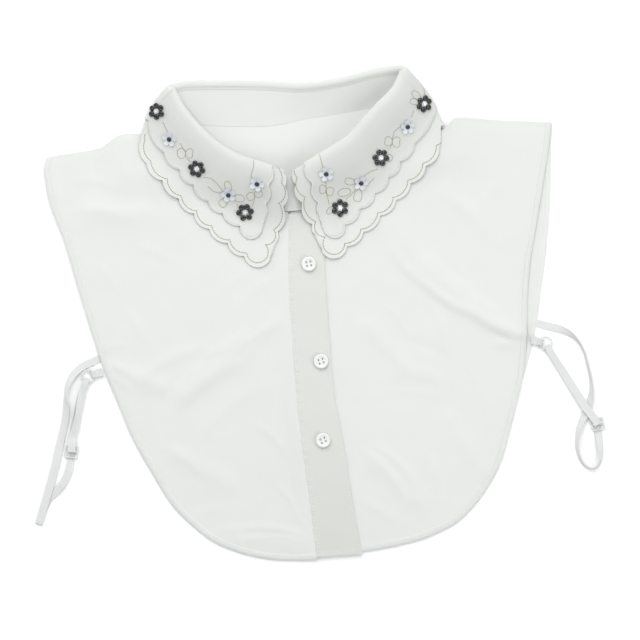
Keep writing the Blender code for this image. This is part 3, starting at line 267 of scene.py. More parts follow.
def withDistance(points):
    # Rows of a route with the length so far, from 0 to 1, in the first column.
    lengths = [0.0]
    for first, second in zip(points, points[1:]):
        lengths.append(lengths[-1] + math.dist(first[:2], second[:2]) + 0.01)
    return [(length / lengths[-1], *point) for length, point in zip(lengths, points)]


# Heights of the stacked cloth

def neckRise(x, y, early=0.0):
    # How far the body is lifted by the collar layers under it.
    back = smooth((y + early - riseStartY) / (riseFullY - riseStartY))
    right = smooth((x + early - riseLeftX + riseRun) / riseRun)
    left = smooth((riseRightX + early + riseRun - x) / riseRun)
    return layersUnder * back * right * left


def folds(x, y):
    # Height of the largest folds of the front.
    height = 0.0
    for x0, y0, x1, y1, halfWidth, rise in foldTable:
        run = Vector((x1 - x0, y1 - y0))
        offset = Vector((x - x0, y - y0))
        along = min(1.0, max(0.0, offset.dot(run) / run.length_squared))
        away = (offset - run * along).length
        height = max(height, rise * math.exp(-(away / halfWidth) ** 2))
    return height


def bandEdges(y):
    # Stitched and folded edge of the buttoned band.
    return through(bandTable, y)


def foldFade(x, y):
    # Folds die out towards the buttoned band.
    stitched, folded = bandEdges(y)
    return smooth(max(stitched - x, x - folded) / bandRamp)


def frontUnderside(x, y, early=frontEarly):
    # The fronts rise a little further out than the back under them.
    return neckRise(x, y, early) + layerStep + folds(x, y) * foldFade(x, y)


def rightFrontUnderside(x, y):
    # The right front climbs to the buttoned band.
    climb = smooth((x - bandEdges(y)[0] + bandRamp) / (bandRamp - seamGap))
    return frontUnderside(x, y) + layerStep * climb


def cover(x, y):
    # Top of everything that the collar lies on in front.
    stitched, folded = bandEdges(y)
    rise = smooth((x - stitched + bandRamp + 3) / (bandRamp + 1))
    fall = 1 - smooth((x - folded - 1) / bandRamp)
    bump = (layerStep + bandWall - clothWall) * rise * fall
    return frontUnderside(x, y, collarEarly) + clothWall + bump


# Collar surface

def creaseRows(crease, sign):
    # Stations round a side crease, where every rail turns from one layer to the other.
    first, foldX, foldY, foldZ, neckX, neckY, edgeX, edgeY = crease
    lean = Vector((0, foldY - neckY, foldZ - layersUnder - layerStep)).normalized()
    upright = Vector((0, -lean.z, lean.y))
    edgeOut = (layerStep + clothWall + seamGap + seamGap) / 2
    rows = []
    for step in range(creaseSteps + 1):
        part = step / creaseSteps
        turn = math.pi * (0.5 - part) * -sign
        out, rise = sign * math.cos(turn), math.sin(turn)
        rows.append((
            first + creaseSpan * part,
            foldX + foldCorner * out, foldY + foldCorner * rise * upright.y,
            foldZ + foldCorner * rise * upright.z,
            neckX + neckCorner * out, neckY + neckCorner * rise * upright.y,
            edgeX + edgeOut * out, edgeY,
        ))
    return rows


stationTable = (rightCollar + creaseRows(rightCrease, -1) + backCollar
            + creaseRows(leftCrease, 1) + leftCollar)


def frontness(station):
    # 1 on the leaves that lie on the front, 0 under the back, turning over at a crease.
    for crease, falls in ((rightCrease, True), (leftCrease, False)):
        part = (station - crease[0]) / creaseSpan
        if 0 <= part <= 1:
            turn = 0.5 + 0.5 * math.cos(math.pi * part)
            return turn if falls else 1 - turn
    return 0.0 if rightCrease[0] < station < leftCrease[0] + creaseSpan else 1.0


def bulge(station):
    # How much a station takes part in the round side of the collar.
    middles = (rightCrease[0] + creaseSpan / 2, leftCrease[0] + creaseSpan / 2)
    away = min(abs(station - middle) for middle in middles)
    return smooth(1 - away / 1.1)


@functools.lru_cache(maxsize=None)
def rails(station):
    # Neck seam, start of the fold, lean of the stand and cut edge at a station.
    foldX, foldY, foldZ, neckX, neckY, edgeX, edgeY = through(stationTable, station)
    front = frontness(station)
    if station < lastStation / 2:
        upper = rightFrontUnderside(neckX, neckY) + clothWall
        upper += seamGap * smooth(1 - station)
    else:
        upper = frontUnderside(neckX, neckY) + clothWall
    neck = Vector((neckX, neckY, layersUnder + (upper - layersUnder) * front))
    seen = Vector((foldX, foldY, foldZ))
    lean = (seen - neck).normalized()
    return neck, seen - lean * foldProud, lean, Vector((edgeX, edgeY, 0))


@functools.lru_cache(maxsize=None)
def standSide(station):
    # Direction from the stand's outer face away from the neck.
    step = 0.04
    ahead, behind = min(lastStation, station + step), max(0.0, station - step)
    along = (rails(ahead)[1] - rails(behind)[1]).normalized()
    return rails(station)[2].cross(along).normalized()


def standPoint(station, way):
    # Outer face of the stand, from 0 at the neck seam to 1 at the fold.
    neck, fold, lean, edge = rails(station)
    point = neck.lerp(fold, way)
    point.z = neck.z + (fold.z - neck.z) * way ** 1.12
    return point


def foldWay(station, below):
    # Way up the stand at a distance below the fold.
    neck, fold, lean, edge = rails(station)
    return 1 - below / (fold - neck).length


def tipPath(station, down):
    # Shift of the leaf's first rows onto its centre front edge.
    ends = ((station, rightTipEdge), (lastStation - station, leftTipEdge))
    for away, table in ends:
        if away < 1:
            x, y = through(table, down)
            straightX = table[0][1] + (table[-1][1] - table[0][1]) * down
            straightY = table[0][2] + (table[-1][2] - table[0][2]) * down
            return Vector((x - straightX, y - straightY, 0)) * (1 - away) ** 1.5
    return Vector((0, 0, 0))


def leafHeight(station, down, reach, start, x, y):
    # Underside of the leaf on the front, or its upper side under the back.
    front = frontness(station)
    restFront = cover(x, y) + collarGap
    restBack = layersUnder - seamGap
    run = down * reach
    fallFront = 1 - smooth(run / frontDrop)
    fallSide = 1 - smooth(0.5 + run / (2 * sideDrop)) * 2 + 1 if run < sideDrop else 0.0
    fallBack = (1 - min(1.0, run / backDrop)) ** 2.2
    onFront = restFront + (start - restFront) * fallFront
    onBack = restBack + (start - restBack) * fallBack
    middle = (restFront + restBack) / 2
    onSide = middle + (start - middle) * (1 - min(1.0, run / sideDrop))
    side = 4 * front * (1 - front)
    flat = onFront * front + onBack * (1 - front)
    return flat * (1 - 0.5 * side) + 0.5 * side * onSide


def leafPoint(station, down):
    # Inner side of the leaf: -2 to -1 the seam band, -1 to 0 the fold, 0 to 1 the fall.
    neck, fold, lean, edge = rails(station)
    if down < -1:
        way = foldWay(station, bandBelowFold)
        return standPoint(station, way + (1 - way) * (down + 2))
    side = standSide(station)
    middle = fold + side * foldRadius
    turn = rollEnd * min(1.0, down + 1)
    roll = middle + foldRadius * (lean * math.sin(turn) - side * math.cos(turn))
    if down <= 0:
        return roll
    point = roll.lerp(edge, down)
    point += tipPath(station, down)
    sign = -1 if station < lastStation / 2 else 1
    point.x += sign * sideBulge * math.sin(math.pi * down) * bulge(station)
    reach = math.dist(roll[:2], edge[:2])
    point.z = leafHeight(station, down, reach, roll.z, point.x, point.y)
    return point


def leafOutward(station, down):
    # Direction out of the leaf's face, away from the neck.
    step = 0.03
    ahead, behind = min(lastStation, station + step), max(0.0, station - step)
    lower, upper = min(1.0, down + step), max(-2.0, down - step)
    along = leafPoint(ahead, down) - leafPoint(behind, down)
    across = leafPoint(station, lower) - leafPoint(station, upper)
    return along.cross(across).normalized()


def tierLift(station, down):
    # The tier stands a little looser on the leaf where both are curved.
    loose = max(frontness(station), smooth((0.45 - down) / 0.2))
    return layerStep + tierSlack * loose


def lobe(start, end, part, rise, away):
    # A point on a round scallop over the chord from start to end.
    chord = Vector((end.x - start.x, end.y - start.y, 0))
    normal = Vector((-chord.y, chord.x, 0)).normalized()
    if normal.dot(away) < 0:
        normal = -normal
    half = chord.length / 2
    radius = (half * half + rise * rise) / (2 * rise)
    sweep = math.asin(min(1.0, half / radius))
    if rise > half:
        sweep = math.pi - sweep
    turn = sweep * (2 * part - 1)
    shift = radius * math.cos(turn) - (radius - rise)
    point = (start + end) / 2 + chord.normalized() * radius * math.sin(turn) + normal * shift
    point.z = start.z + (end.z - start.z) * part
    return point


# Body panels

def shiftInwards(points, distance):
    # An outline moved in from its edge.
    moved = []
    for index, point in enumerate(points):
        before = points[max(index - 1, 0)]
        after = points[min(index + 1, len(points) - 1)]
        along = Vector((after[0] - before[0], after[1] - before[1])).normalized()
        inward = Vector((-along.y, along.x))
        if inward.dot(Vector((-point[0], -point[1]))) < 0:
            inward = -inward
        moved.append((point[0] + inward.x * distance, point[1] + inward.y * distance))
    return moved


def neckEdge(station, gap):
    # Neck edge of a panel, just outside the stand.
    neck, fold, lean, edge = rails(station)
    step = 0.05
    ahead, behind = min(lastStation, station + step), max(0.0, station - step)
    along = rails(ahead)[0] - rails(behind)[0]
    side = Vector((along.y, -along.x)).normalized()
    centre = Vector((-4.0, 115.0))
    if side.dot(Vector((neck.x, neck.y)) - centre) < 0:
        side = -side
    return neck.x + side.x * gap, neck.y + side.y * gap


frontColumns, frontRows = 11, 30
frontNeckRows = 0.30
backColumns = 38
backNearRows = [0.0, 9.0, 18.0, 27.0, 36.0, 47.0, 60.0]
backFarRows = 3
shoulderColumns, shoulderRows = 7, 5


def shoulderShift(shoulder, part):
    # How far a shoulder seam dips from its straight chord.
    straight = Vector(shoulder[0]).lerp(Vector(shoulder[-1]), part)
    return Vector(through(withDistance(shoulder), part)) - straight

rightLap, leftLap = 12.0, 6.0


# Helpers for meshes

def pick(piece):
    bpy.ops.object.select_all(action="DESELECT")
    piece.select_set(True)
    bpy.context.view_layer.objects.active = piece


def applyModifiers(piece):
    pick(piece)
    for modifier in list(piece.modifiers):
        bpy.ops.object.modifier_apply(modifier=modifier.name)


def finishPiece(piece, material, angle=50):
    # Applies what is left, smooths the shading and puts the piece on the body.
    applyModifiers(piece)
    pick(piece)
    bpy.ops.object.transform_apply(location=True, rotation=True, scale=True)
    bpy.ops.object.shade_smooth_by_angle(angle=math.radians(angle))
    piece.data.materials.clear()
    piece.data.materials.append(material)
    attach(piece, "root")
    return piece


def clothGrid(name, columns, rows, place, thickness, flip=False):
    # A primitive grid laid on the cloth's form and given its thickness.
    bpy.ops.mesh.primitive_grid_add(x_subdivisions=columns, y_subdivisions=rows, size=2.0,
                                    location=(0, 0, 0))
    piece = bpy.context.active_object
    piece.name = name
    for vertex in piece.data.vertices:
        across = round((vertex.co.x + 1) / 2 * columns)
        down = round((vertex.co.y + 1) / 2 * rows)
        vertex.co = place(across, down) * mm
    if flip:
        piece.data.flip_normals()
    solid = piece.modifiers.new("Thickness", "SOLIDIFY")
    solid.thickness = thickness * mm
    solid.offset = 1.0
    solid.use_quality_normals = True
    return piece


def joinedCopies(name, template, spots, material):
    # Many small things as one mesh. A spot is place, direction, up and three sizes, in mm.
    corners, faces = template
    allCorners, allFaces = [], []
    for index, (place, along, up, sizes) in enumerate(spots):
        along = along.normalized()
        side = up.cross(along).normalized()
        turned = Matrix((along * sizes[0], side * sizes[1], along.cross(side) * sizes[2]))
        block = corners @ np.array(turned) + np.array(place)
        allCorners.append(block * mm)
        allFaces.append(faces + index * len(corners))
    mesh = bpy.data.meshes.new(name)
    points = np.concatenate(allCorners)
    indexes = np.concatenate(allFaces)
    mesh.from_pydata(points.tolist(), [], indexes.tolist())
    piece = bpy.data.objects.new(name, mesh)
    bpy.context.scene.collection.objects.link(piece)
    return finishPiece(piece, material, angle=60)


def template(build):
    # Corners and triangles of a primitive that is modelled once and then removed.
    build()
    piece = bpy.context.active_object
    applyModifiers(piece)
    shape = bmesh.new()
    shape.from_mesh(piece.data)
    bmesh.ops.triangulate(shape, faces=shape.faces)
    corners = np.array([vertex.co for vertex in shape.verts])
    faces = np.array([[vertex.index for vertex in face.verts] for face in shape.faces])
    shape.free()
    bpy.data.objects.remove(piece, do_unlink=True)
    return corners, faces


def surfaceTree(pieces):
    # Finds the top of some pieces under a point.
    corners, faces = [], []
    for piece in pieces:
        start = len(corners)
        corners += [piece.matrix_world @ vertex.co for vertex in piece.data.vertices]
        faces += [[start + index for index in face.vertices] for face in piece.data.polygons]
    return BVHTree.FromPolygons(corners, faces)


def nearestOn(tree, spot):
    # The surface nearest a spot, for what wraps round a fold.
    place, normal, index, away = tree.find_nearest(spot * mm)
    return place / mm, normal


def dropTo(tree, x, y):
    place, normal, index, away = tree.ray_cast(Vector((x, y, 100)) * mm, Vector((0, 0, -1)))
    if place is None:
        return Vector((x, y, 0)), Vector((0, 0, 1))
    if normal.z < 0:
        normal = -normal
    return place / mm, normal


# Materials

def newMaterial(name):
    material = bpy.data.materials.new(name)
    material.use_nodes = True
    nodes = material.node_tree.nodes
    return material, nodes, material.node_tree.links, nodes["Principled BSDF"]


def clothMaterial(name, colour, width, length, thread=0.42, sheer=0.0, bumpDepth=0.08, paintedShades=()):
    # Plain weave across the cloth's own width and length, with soft uneven tone. Painted shade:
    # thin white cloth is painted greyer where more layers lie under it, at places down its length.
    material, nodes, links, shader = newMaterial(name)
    shader.inputs["Roughness"].default_value = 0.88
    shader.inputs["Specular IOR Level"].default_value = 0.22
    shader.inputs["Sheen Weight"].default_value = 0.25
    shader.inputs["Sheen Roughness"].default_value = 0.5
    where = nodes.new("ShaderNodeTexCoord")
    stretch = nodes.new("ShaderNodeMapping")
    stretch.inputs["Scale"].default_value = (width, length, 1)
    links.new(where.outputs["UV"], stretch.inputs["Vector"])
    heights = []
    for direction in ("X", "Y"):
        wave = nodes.new("ShaderNodeTexWave")
        wave.bands_direction = direction
        wave.inputs["Scale"].default_value = math.pi / (10 * thread)
        wave.inputs["Distortion"].default_value = 0.6
        wave.inputs["Detail Scale"].default_value = 2.0
        links.new(stretch.outputs["Vector"], wave.inputs["Vector"])
        heights.append(wave)
    weave = nodes.new("ShaderNodeMath")
    weave.operation = "MAXIMUM"
    links.new(heights[0].outputs["Fac"], weave.inputs[0])
    links.new(heights[1].outputs["Fac"], weave.inputs[1])
    bump = nodes.new("ShaderNodeBump")
    bump.inputs["Strength"].default_value = 0.5
    bump.inputs["Distance"].default_value = bumpDepth * mm
    links.new(weave.outputs["Value"], bump.inputs["Height"])
    soft = nodes.new("ShaderNodeTexNoise")
    soft.inputs["Scale"].default_value = 38
    soft.inputs["Detail"].default_value = 4
    links.new(where.outputs["Object"], soft.inputs["Vector"])
    crumple = nodes.new("ShaderNodeBump")
    crumple.inputs["Strength"].default_value = 0.35
    crumple.inputs["Distance"].default_value = 1.1 * mm
    links.new(soft.outputs["Fac"], crumple.inputs["Height"])
    links.new(bump.outputs["Normal"], crumple.inputs["Normal"])
    links.new(crumple.outputs["Normal"], shader.inputs["Normal"])
    tone = nodes.new("ShaderNodeMix")
    tone.data_type = "RGBA"
    tone.inputs["A"].default_value = (*[value * 0.975 for value in colour], 1)
    tone.inputs["B"].default_value = (*colour, 1)
    links.new(soft.outputs["Fac"], tone.inputs["Factor"])
    links.new(tone.outputs["Result"], shader.inputs["Base Color"])
    # Painted shade: a grey ramp down the cloth's length multiplies its colour where layers stack under it.
    if paintedShades:
        split = nodes.new("ShaderNodeSeparateXYZ")
        links.new(where.outputs["UV"], split.inputs["Vector"])
        ramp = nodes.new("ShaderNodeValToRGB")
        marks = ramp.color_ramp.elements
        while len(marks) < len(paintedShades):
            marks.new(0.5)
        for mark, (place, grey) in zip(marks, paintedShades):
            mark.position = place
            mark.color = (grey, grey, grey * 0.99, 1)
        links.new(split.outputs["Y"], ramp.inputs["Fac"])
        paintedShadeMix = nodes.new("ShaderNodeMix")
        paintedShadeMix.data_type = "RGBA"
        paintedShadeMix.blend_type = "MULTIPLY"
        paintedShadeMix.inputs["Factor"].default_value = 1.0
        links.new(tone.outputs["Result"], paintedShadeMix.inputs["A"])
        links.new(ramp.outputs["Color"], paintedShadeMix.inputs["B"])
        links.new(paintedShadeMix.outputs["Result"], shader.inputs["Base Color"])
    if sheer:
        through = nodes.new("ShaderNodeBsdfTranslucent")
        through.inputs["Color"].default_value = (*colour, 1)
        both = nodes.new("ShaderNodeMixShader")
        both.inputs["Fac"].default_value = sheer
        links.new(shader.outputs["BSDF"], both.inputs[1])
        links.new(through.outputs["BSDF"], both.inputs[2])
        links.new(both.outputs["Shader"], nodes["Material Output"].inputs["Surface"])
    return material


def plainMaterial(name, colour, roughness, metallic=0.0, coat=0.0, grain=0.0, seeThrough=0.0):
    material, nodes, links, shader = newMaterial(name)
    shader.inputs["Base Color"].default_value = (*colour, 1)
    shader.inputs["Roughness"].default_value = roughness
    shader.inputs["Metallic"].default_value = metallic
    shader.inputs["Coat Weight"].default_value = coat
    shader.inputs["Transmission Weight"].default_value = seeThrough
    if grain:
        where = nodes.new("ShaderNodeTexCoord")
        noiseNode = nodes.new("ShaderNodeTexNoise")
        noiseNode.inputs["Scale"].default_value = 2200
        links.new(where.outputs["Object"], noiseNode.inputs["Vector"])
        bump = nodes.new("ShaderNodeBump")
        bump.inputs["Strength"].default_value = grain
        bump.inputs["Distance"].default_value = 0.1 * mm
        links.new(noiseNode.outputs["Fac"], bump.inputs["Height"])
        links.new(bump.outputs["Normal"], shader.inputs["Normal"])
    return material


# One white cotton throughout: the band, collar leaf and tier get greyer base colours and the back panel a
# lighter one than the fronts, as painted shade of the cloth layered under them.
cottonWhite = (0.765, 0.778, 0.757)
frontCloth = clothMaterial("frontCotton", cottonWhite, 190, 310, sheer=0.06)
backCloth = clothMaterial("backCotton", (0.785, 0.80, 0.775), 360, 320, sheer=0.06)
# Painted shade: the band is greyer towards its lower end.
bandCloth = clothMaterial("bandCotton", (0.672, 0.684, 0.652), 30, 250, paintedShades=[
    (0.0, 1.0), (0.55, 0.99), (1.0, 0.93)])
# Painted shade: the leaf is greyer from the fold to the middle of its fall and lighter towards its cut
# edge.
leafCloth = clothMaterial("leafCotton", (0.708, 0.722, 0.697), 560, 50, paintedShades=[
    (0.0, 0.96), (0.30, 0.92), (0.60, 0.90), (0.74, 0.95), (0.84, 1.0)])
# Painted shade: the tier is greyest from just below the fold to the middle of its fall.
tierCloth = clothMaterial("tierCotton", (0.708, 0.722, 0.697), 540, 40, paintedShades=[
    (0.0, 0.99), (0.36, 0.97), (0.47, 0.88), (0.62, 0.86), (0.78, 0.92), (1.0, 0.98)])
standCloth = clothMaterial("standCotton", (0.755, 0.767, 0.742), 420, 32)
whiteThread = plainMaterial("whiteThread", (0.77, 0.78, 0.76), 0.6, grain=0.4)
goldThread = plainMaterial("goldThread", (0.36, 0.31, 0.18), 0.42, metallic=0.45, grain=0.5)
print("materials ready")

# Creases pressed into the cloth: x and y of both ends, half width, height. Uneven on purpose.
smallCreases = [
    (155, -21.5, 116, -1, 3.4, 1.7), (120, -4, 86, 20, 3.3, 1.4), (90, 16, 60, 52, 3.6, 1.0),
    (152, -26, 130, -17, 1.6, -0.9), (100, 84, 136, 44, 5.0, 0.8), (48, -44, 96, -50, 5.5, 0.7),
    (88, 8, 96, -36, 4.0, 0.55), (40, -92, 70, -128, 3.2, 0.8), (-166, 82, -112, 76, 8.0, 1.0),
    (-128, -38, -76, -14, 5.0, 0.9), (-104, -60, -40, -24, 5.5, 0.8), (-84, -82, -38, -44, 5.0, 0.6),
    (-72, -146, -8, -156, 3.0, 0.9), (-50, 12, -16, 34, 4.0, 0.5), (20, -130, 50, -146, 3.4, 0.5),
    (150, -17, 128, -6, 2.6, 0.8), (148, -24, 126, -26, 2.4, 0.6), (133, -2, 112, 16, 2.2, 0.5),
    (118, 18, 96, 40, 2.4, -0.5), (100, 8, 82, 22, 3.0, 0.4), (56, 6, 69, -17, 1.2, 0.5),
    (36, -58, 92, -62, 3.0, 0.35), (34, -96, 62, -140, 2.6, 0.5), (112, -40, 120, -96, 4.0, 0.5),
    (74, -96, 84, -134, 2.6, 0.35), (30, 16, 52, 34, 3.2, 0.4), (124, 66, 150, 92, 4.2, 0.5),
    (138, 44, 158, 52, 2.6, 0.4), (96, 84, 128, 112, 3.2, -0.35), (60, -20, 98, -34, 3.6, -0.4),
    (-148, -22, -128, -30, 2.4, 0.8), (-146, -30, -128, -44, 2.0, 0.6),
    (-150, -12, -132, -8, 2.2, 0.5), (-96, -44, -46, -8, 3.0, 0.6), (-54, -20, -18, 0, 2.6, 0.5),
    (-84, -28, -62, -20, 2.4, -0.5), (-56, -153, -8, -160, 2.2, 0.5), (-92, -136, -70, -128, 2.0, 0.4),
    (-168, 88, -120, 82, 3.0, 0.5), (-160, 110, -130, 104, 3.4, 0.4), (-120, 62, -90, 44, 3.6, 0.4),
    (-70, 20, -40, 36, 3.4, 0.35), (-112, -82, -84, -104, 2.6, 0.5), (-44, -70, -22, -96, 2.6, 0.4),
    (-30, -116, -18, -144, 2.4, 0.4), (-134, 20, -118, -10, 3.0, 0.4), (-150, 52, -136, 30, 2.4, 0.3),
]


def creases(x, y, table):
    height = 0.0
    for x0, y0, x1, y1, halfWidth, rise in table:
        runX, runY = x1 - x0, y1 - y0
        along = ((x - x0) * runX + (y - y0) * runY) / (runX * runX + runY * runY)
        if -0.2 < along < 1.2:
            held = min(1.0, max(0.0, along))
            bow = 0.08 * math.sin(math.pi * held)
            nearX = x0 + runX * held - runY * bow
            nearY = y0 + runY * held + runX * bow
            away = math.hypot(x - nearX, y - nearY) / halfWidth
            if away < 3:
                fade = 1 - 0.75 * (2 * held - 1) ** 2
                height += rise * fade * math.exp(-away * away)
    return height


def ripple(place, size):
    # Smooth unevenness of cloth that was never quite flat, from -1 to 1.
    return noise.noise(Vector((place[0] / size, place[1] / size, place[2] / size if len(place) > 2 else 0)))


def outlineFinder(points):
    # Nearest way along an outline and how far off it is.
    rows = withDistance(points)
    total = sum(math.dist(a[:2], b[:2]) for a, b in zip(points, points[1:]))
    steps = 900
    finder = kdtree.KDTree(steps + 1)
    for step in range(steps + 1):
        x, y = through(rows, step / steps)
        finder.insert(Vector((x, y, 0)), step)
    finder.balance()

    def find(x, y):
        place, step, away = finder.find(Vector((x, y, 0)))
        return away, total * step / steps
    return find


def hemHeight(away, run, width=3.4, lift=0.5):
    # A turned hem: doubled cloth with its stitches drawing it into small uneven puckers.
    step = smooth((width + 0.35 - away) / 0.5)
    pucker = 0.16 * math.sin(run / 1.05 + 3 * ripple((run / 4, 7.0), 3.0))
    pucker += 0.13 * ripple((run, away), 3.2)
    near = math.exp(-((away - width) / 2.6) ** 2) if away > width else 0.75
    return lift * step + pucker * near


# Body panels

edgeSteps = [0.0, 0.22, 0.7, 1.3, 2.0, 2.7, 3.15, 3.45, 3.8, 4.6, 5.8, 7.4, 9.4]
panelSkin, panelThick = 0.35, 0.6


def spreadAcross(across, columns, reach):
    # Even columns, then closer ones through the hem at the outer edge.
    close = len(edgeSteps) - 1
    if across >= columns - close:
        return 1 - edgeSteps[columns - across] / reach
    return across / (columns - close) * (1 - edgeSteps[-1] / reach)


def visualFront(name, outline, shoulder, neckStations, seamEdge, underside, flip, seed):
    columns, rows = 78, 170
    outer = withDistance(outline)
    find = outlineFinder(outline)
    first, last = neckStations
    low = outline[-1][1]
    startY = neckEdge(last, 0.35)[1]
    top = Vector(shoulder[0])

    @functools.lru_cache(maxsize=None)
    def ends(way):
        if way < frontNeckRows:
            inner = Vector(neckEdge(first + (last - first) * way / frontNeckRows, 0.35))
        else:
            part = (way - frontNeckRows) / (1 - frontNeckRows)
            y = startY + (low + 34.0 - startY) * part
            inner = Vector((seamEdge(y), y))
        inner = inner.lerp(top, max(0.0, 1 - way * frontRows))
        return inner, Vector(through(outer, way))

    def place(across, down):
        way = (down / rows) ** 1.08
        inner, edge = ends(way)
        reach = (edge - inner).length
        part = spreadAcross(across, columns, reach)
        point = inner.lerp(edge, part)
        if down == rows:
            y = inner.y + (low - inner.y) * part
            point = Vector((seamEdge(y), y))
        settle = 1 - way * frontRows / shoulderRows
        if settle > 0:
            point += shoulderShift(shoulder, part) * settle
        x, y = point
        away, run = find(x, y)
        height = underside(x, y) + panelSkin
        fade = foldFade(x, y)
        height += creases(x, y, smallCreases) * fade
        height += (0.32 * ripple((x, y, seed), 34) + 0.16 * ripple((x, y, seed), 12)) * fade
        height += hemHeight(away, run) * max(fade, 0.4)
        turned = max(smooth(1 - way * rows / 3.0), smooth(1 - away / 1.6))
        height -= 0.7 * turned
        return Vector((x, y, height))

    return clothGrid(name, columns, rows, place, panelThick, flip)


def rightSeam(y):
    return bandEdges(y)[0] - seamGap


def leftSeam(y):
    return bandEdges(y)[0] + underlap


rightFront = visualFront("right_front_cloth", rightFrontOutline, rightShoulder,
                         (rightCrease[0] - 0.3, 0.0), rightSeam, rightFrontUnderside, False, 3.0)
finishPiece(rightFront, frontCloth)
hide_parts("right_front")
leftFront = visualFront("left_front_cloth", leftFrontOutline, leftShoulder,
                        (leftCrease[0] + creaseSpan + 0.3, lastStation), leftSeam,
                        frontUnderside, True, 9.0)
finishPiece(leftFront, frontCloth)
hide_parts("left_front")
print("fronts ready")


def visualBack():
    right = shiftInwards(rightFrontOutline[:-1], backInset)
    right[0] = (rightShoulder[-1][0] + backInset, rightShoulder[-1][1])
    lowLeft = [point for point in leftFrontOutline if point[1] < backLeftArmhole[-1][1] - 8]
    left = backLeftArmhole + shiftInwards(lowLeft, backInset)[:-1]
    outline = right + left[::-1]
    outer, find = withDistance(outline), outlineFinder(outline)
    neckFirst, neckLast = rightCrease[0] + creaseSpan, leftCrease[0]
    columns, rows = 190, 66

    @functools.lru_cache(maxsize=None)
    def ends(way):
        neck = rails(neckFirst + (neckLast - neckFirst) * way)[0]
        inner = Vector((neck.x, neck.y - 0.3))
        for away, shoulder in ((way, rightShoulder), (1 - way, leftShoulder)):
            inner = inner.lerp(Vector(shoulder[0]), max(0.0, 1 - away * backColumns))
        return inner, Vector(through(outer, way))

    def place(across, down):
        way = across / columns
        inner, edge = ends(way)
        reach = (edge - inner).length
        part = spreadAcross(down, rows, reach)
        point = inner.lerp(edge, part)
        for away, shoulder in ((way, rightShoulder), (1 - way, leftShoulder)):
            settle = 1 - away * backColumns / shoulderColumns
            if settle > 0:
                point += shoulderShift(shoulder, part) * settle
        x, y = point
        away, run = find(x, y)
        seen = smooth((x - 140) / 12) + smooth((y - 92) / 20)
        height = neckRise(x, y) + 0.05 + 0.35 * min(1.0, seen) * hemHeight(away, run)
        height += 0.22 * min(1.0, seen) * (1 + ripple((x, y, 5.0), 16)) / 2
        return Vector((x, y, height))

    piece = clothGrid("back_panel_cloth", columns, rows, place, 0.55, True)
    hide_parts("back_panel")
    return finishPiece(piece, backCloth)


backPanel = visualBack()


def visualBand():
    columns, rows = 26, 200
    topY, lowY = 76.4, -169.0

    def place(across, down):
        y = topY + (lowY - topY) * down / rows
        stitched, folded = bandEdges(y)
        width = folded - stitched + 0.5
        reach = across / columns * width
        x = stitched - 0.5 + reach
        if down == 0:
            y += 1.1 * (across / columns)
        height = neckRise(x, y) + 2 * layerStep + 0.45 - 0.6 * smooth(1 - (width - reach) / 1.6)
        pucker = 0.17 * math.sin(y / 1.15 + 3 * ripple((y / 5, 2.0), 2.0)) * math.exp(-(reach / 3.4) ** 2)
        height += pucker + 0.2 * smooth(1 - abs(reach - width + 1.2) / 1.4)
        height += 0.18 * ripple((x, y, 1.0), 15) + 0.12 * smooth(1 - abs(reach - 2.4) / 0.6)
        away = y - lowY
        height += 0.35 * smooth((3.7 - away) / 0.5)
        return Vector((x + 0.25 * ripple((y, 3.0), 9), y, height))

    piece = clothGrid("placket_cloth", columns, rows, place, 0.6, True)
    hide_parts("placket_band")
    return finishPiece(piece, bandCloth)


bandPiece = visualBand()
print("back and band ready")

# Collar

visualSteps = 10


def fineStations(start, end):
    # Close steps on the fronts and round the side creases, wider ones under the back.
    values = [start]
    while values[-1] < end - 1e-6:
        here = values[-1]
        back = rightCrease[0] + creaseSpan <= here + 1e-6 < leftCrease[0] - 1e-6
        crease = any(first - 1e-6 <= here < first + creaseSpan - 1e-6
                     for first in (rightCrease[0], leftCrease[0]))
        step = 0.25 if back else 1 / 24 if crease else 1 / visualSteps
        following = round(here + step, 6)
        for stop in (rightCrease[0], rightCrease[0] + creaseSpan, leftCrease[0],
                     leftCrease[0] + creaseSpan, end):
            if here + 1e-6 < stop < following:
                following = stop
        values.append(following)
    return values


def lobeEdge(station):
    # The scalloped edge's shift off the line of its cusps.
    if rightCollar[-1][0] < station < leftCollar[0][0] or station in (0.0, lastStation):
        return Vector((0, 0, 0))
    start = math.floor(station + 1e-6)
    end = min(lastStation, start + 1)
    part = station - start
    tip = start == 0 or end == lastStation
    first, second = leafPoint(float(start), 1.0), leafPoint(float(end), 1.0)
    away = rails(station)[3] - rails(station)[1]
    point = lobe(first, second, part, tipRise if tip else lobeRise, away)
    flat = point - leafPoint(station, 1.0)
    flat.z = 0
    return flat


sideRises = (1.6, 3.0, 3.9, 3.5)


def sideEdge(station, down):
    # The centre front edge's scallops.
    right = station < 1
    table = rightTipEdge if right else leftTipEdge
    end = 0.0 if right else lastStation
    cusps = [row[0] for row in table]
    here = max(i for i in range(len(cusps) - 1) if cusps[i] <= down + 1e-6)
    start, stop = leafPoint(end, cusps[here]), leafPoint(end, cusps[here + 1])
    part = (down - cusps[here]) / (cusps[here + 1] - cusps[here])
    point = lobe(start, stop, part, sideRises[here], Vector((1.0 if right else -1.0, 0, 0)))
    flat = point - leafPoint(end, down)
    flat.z = 0
    return flat


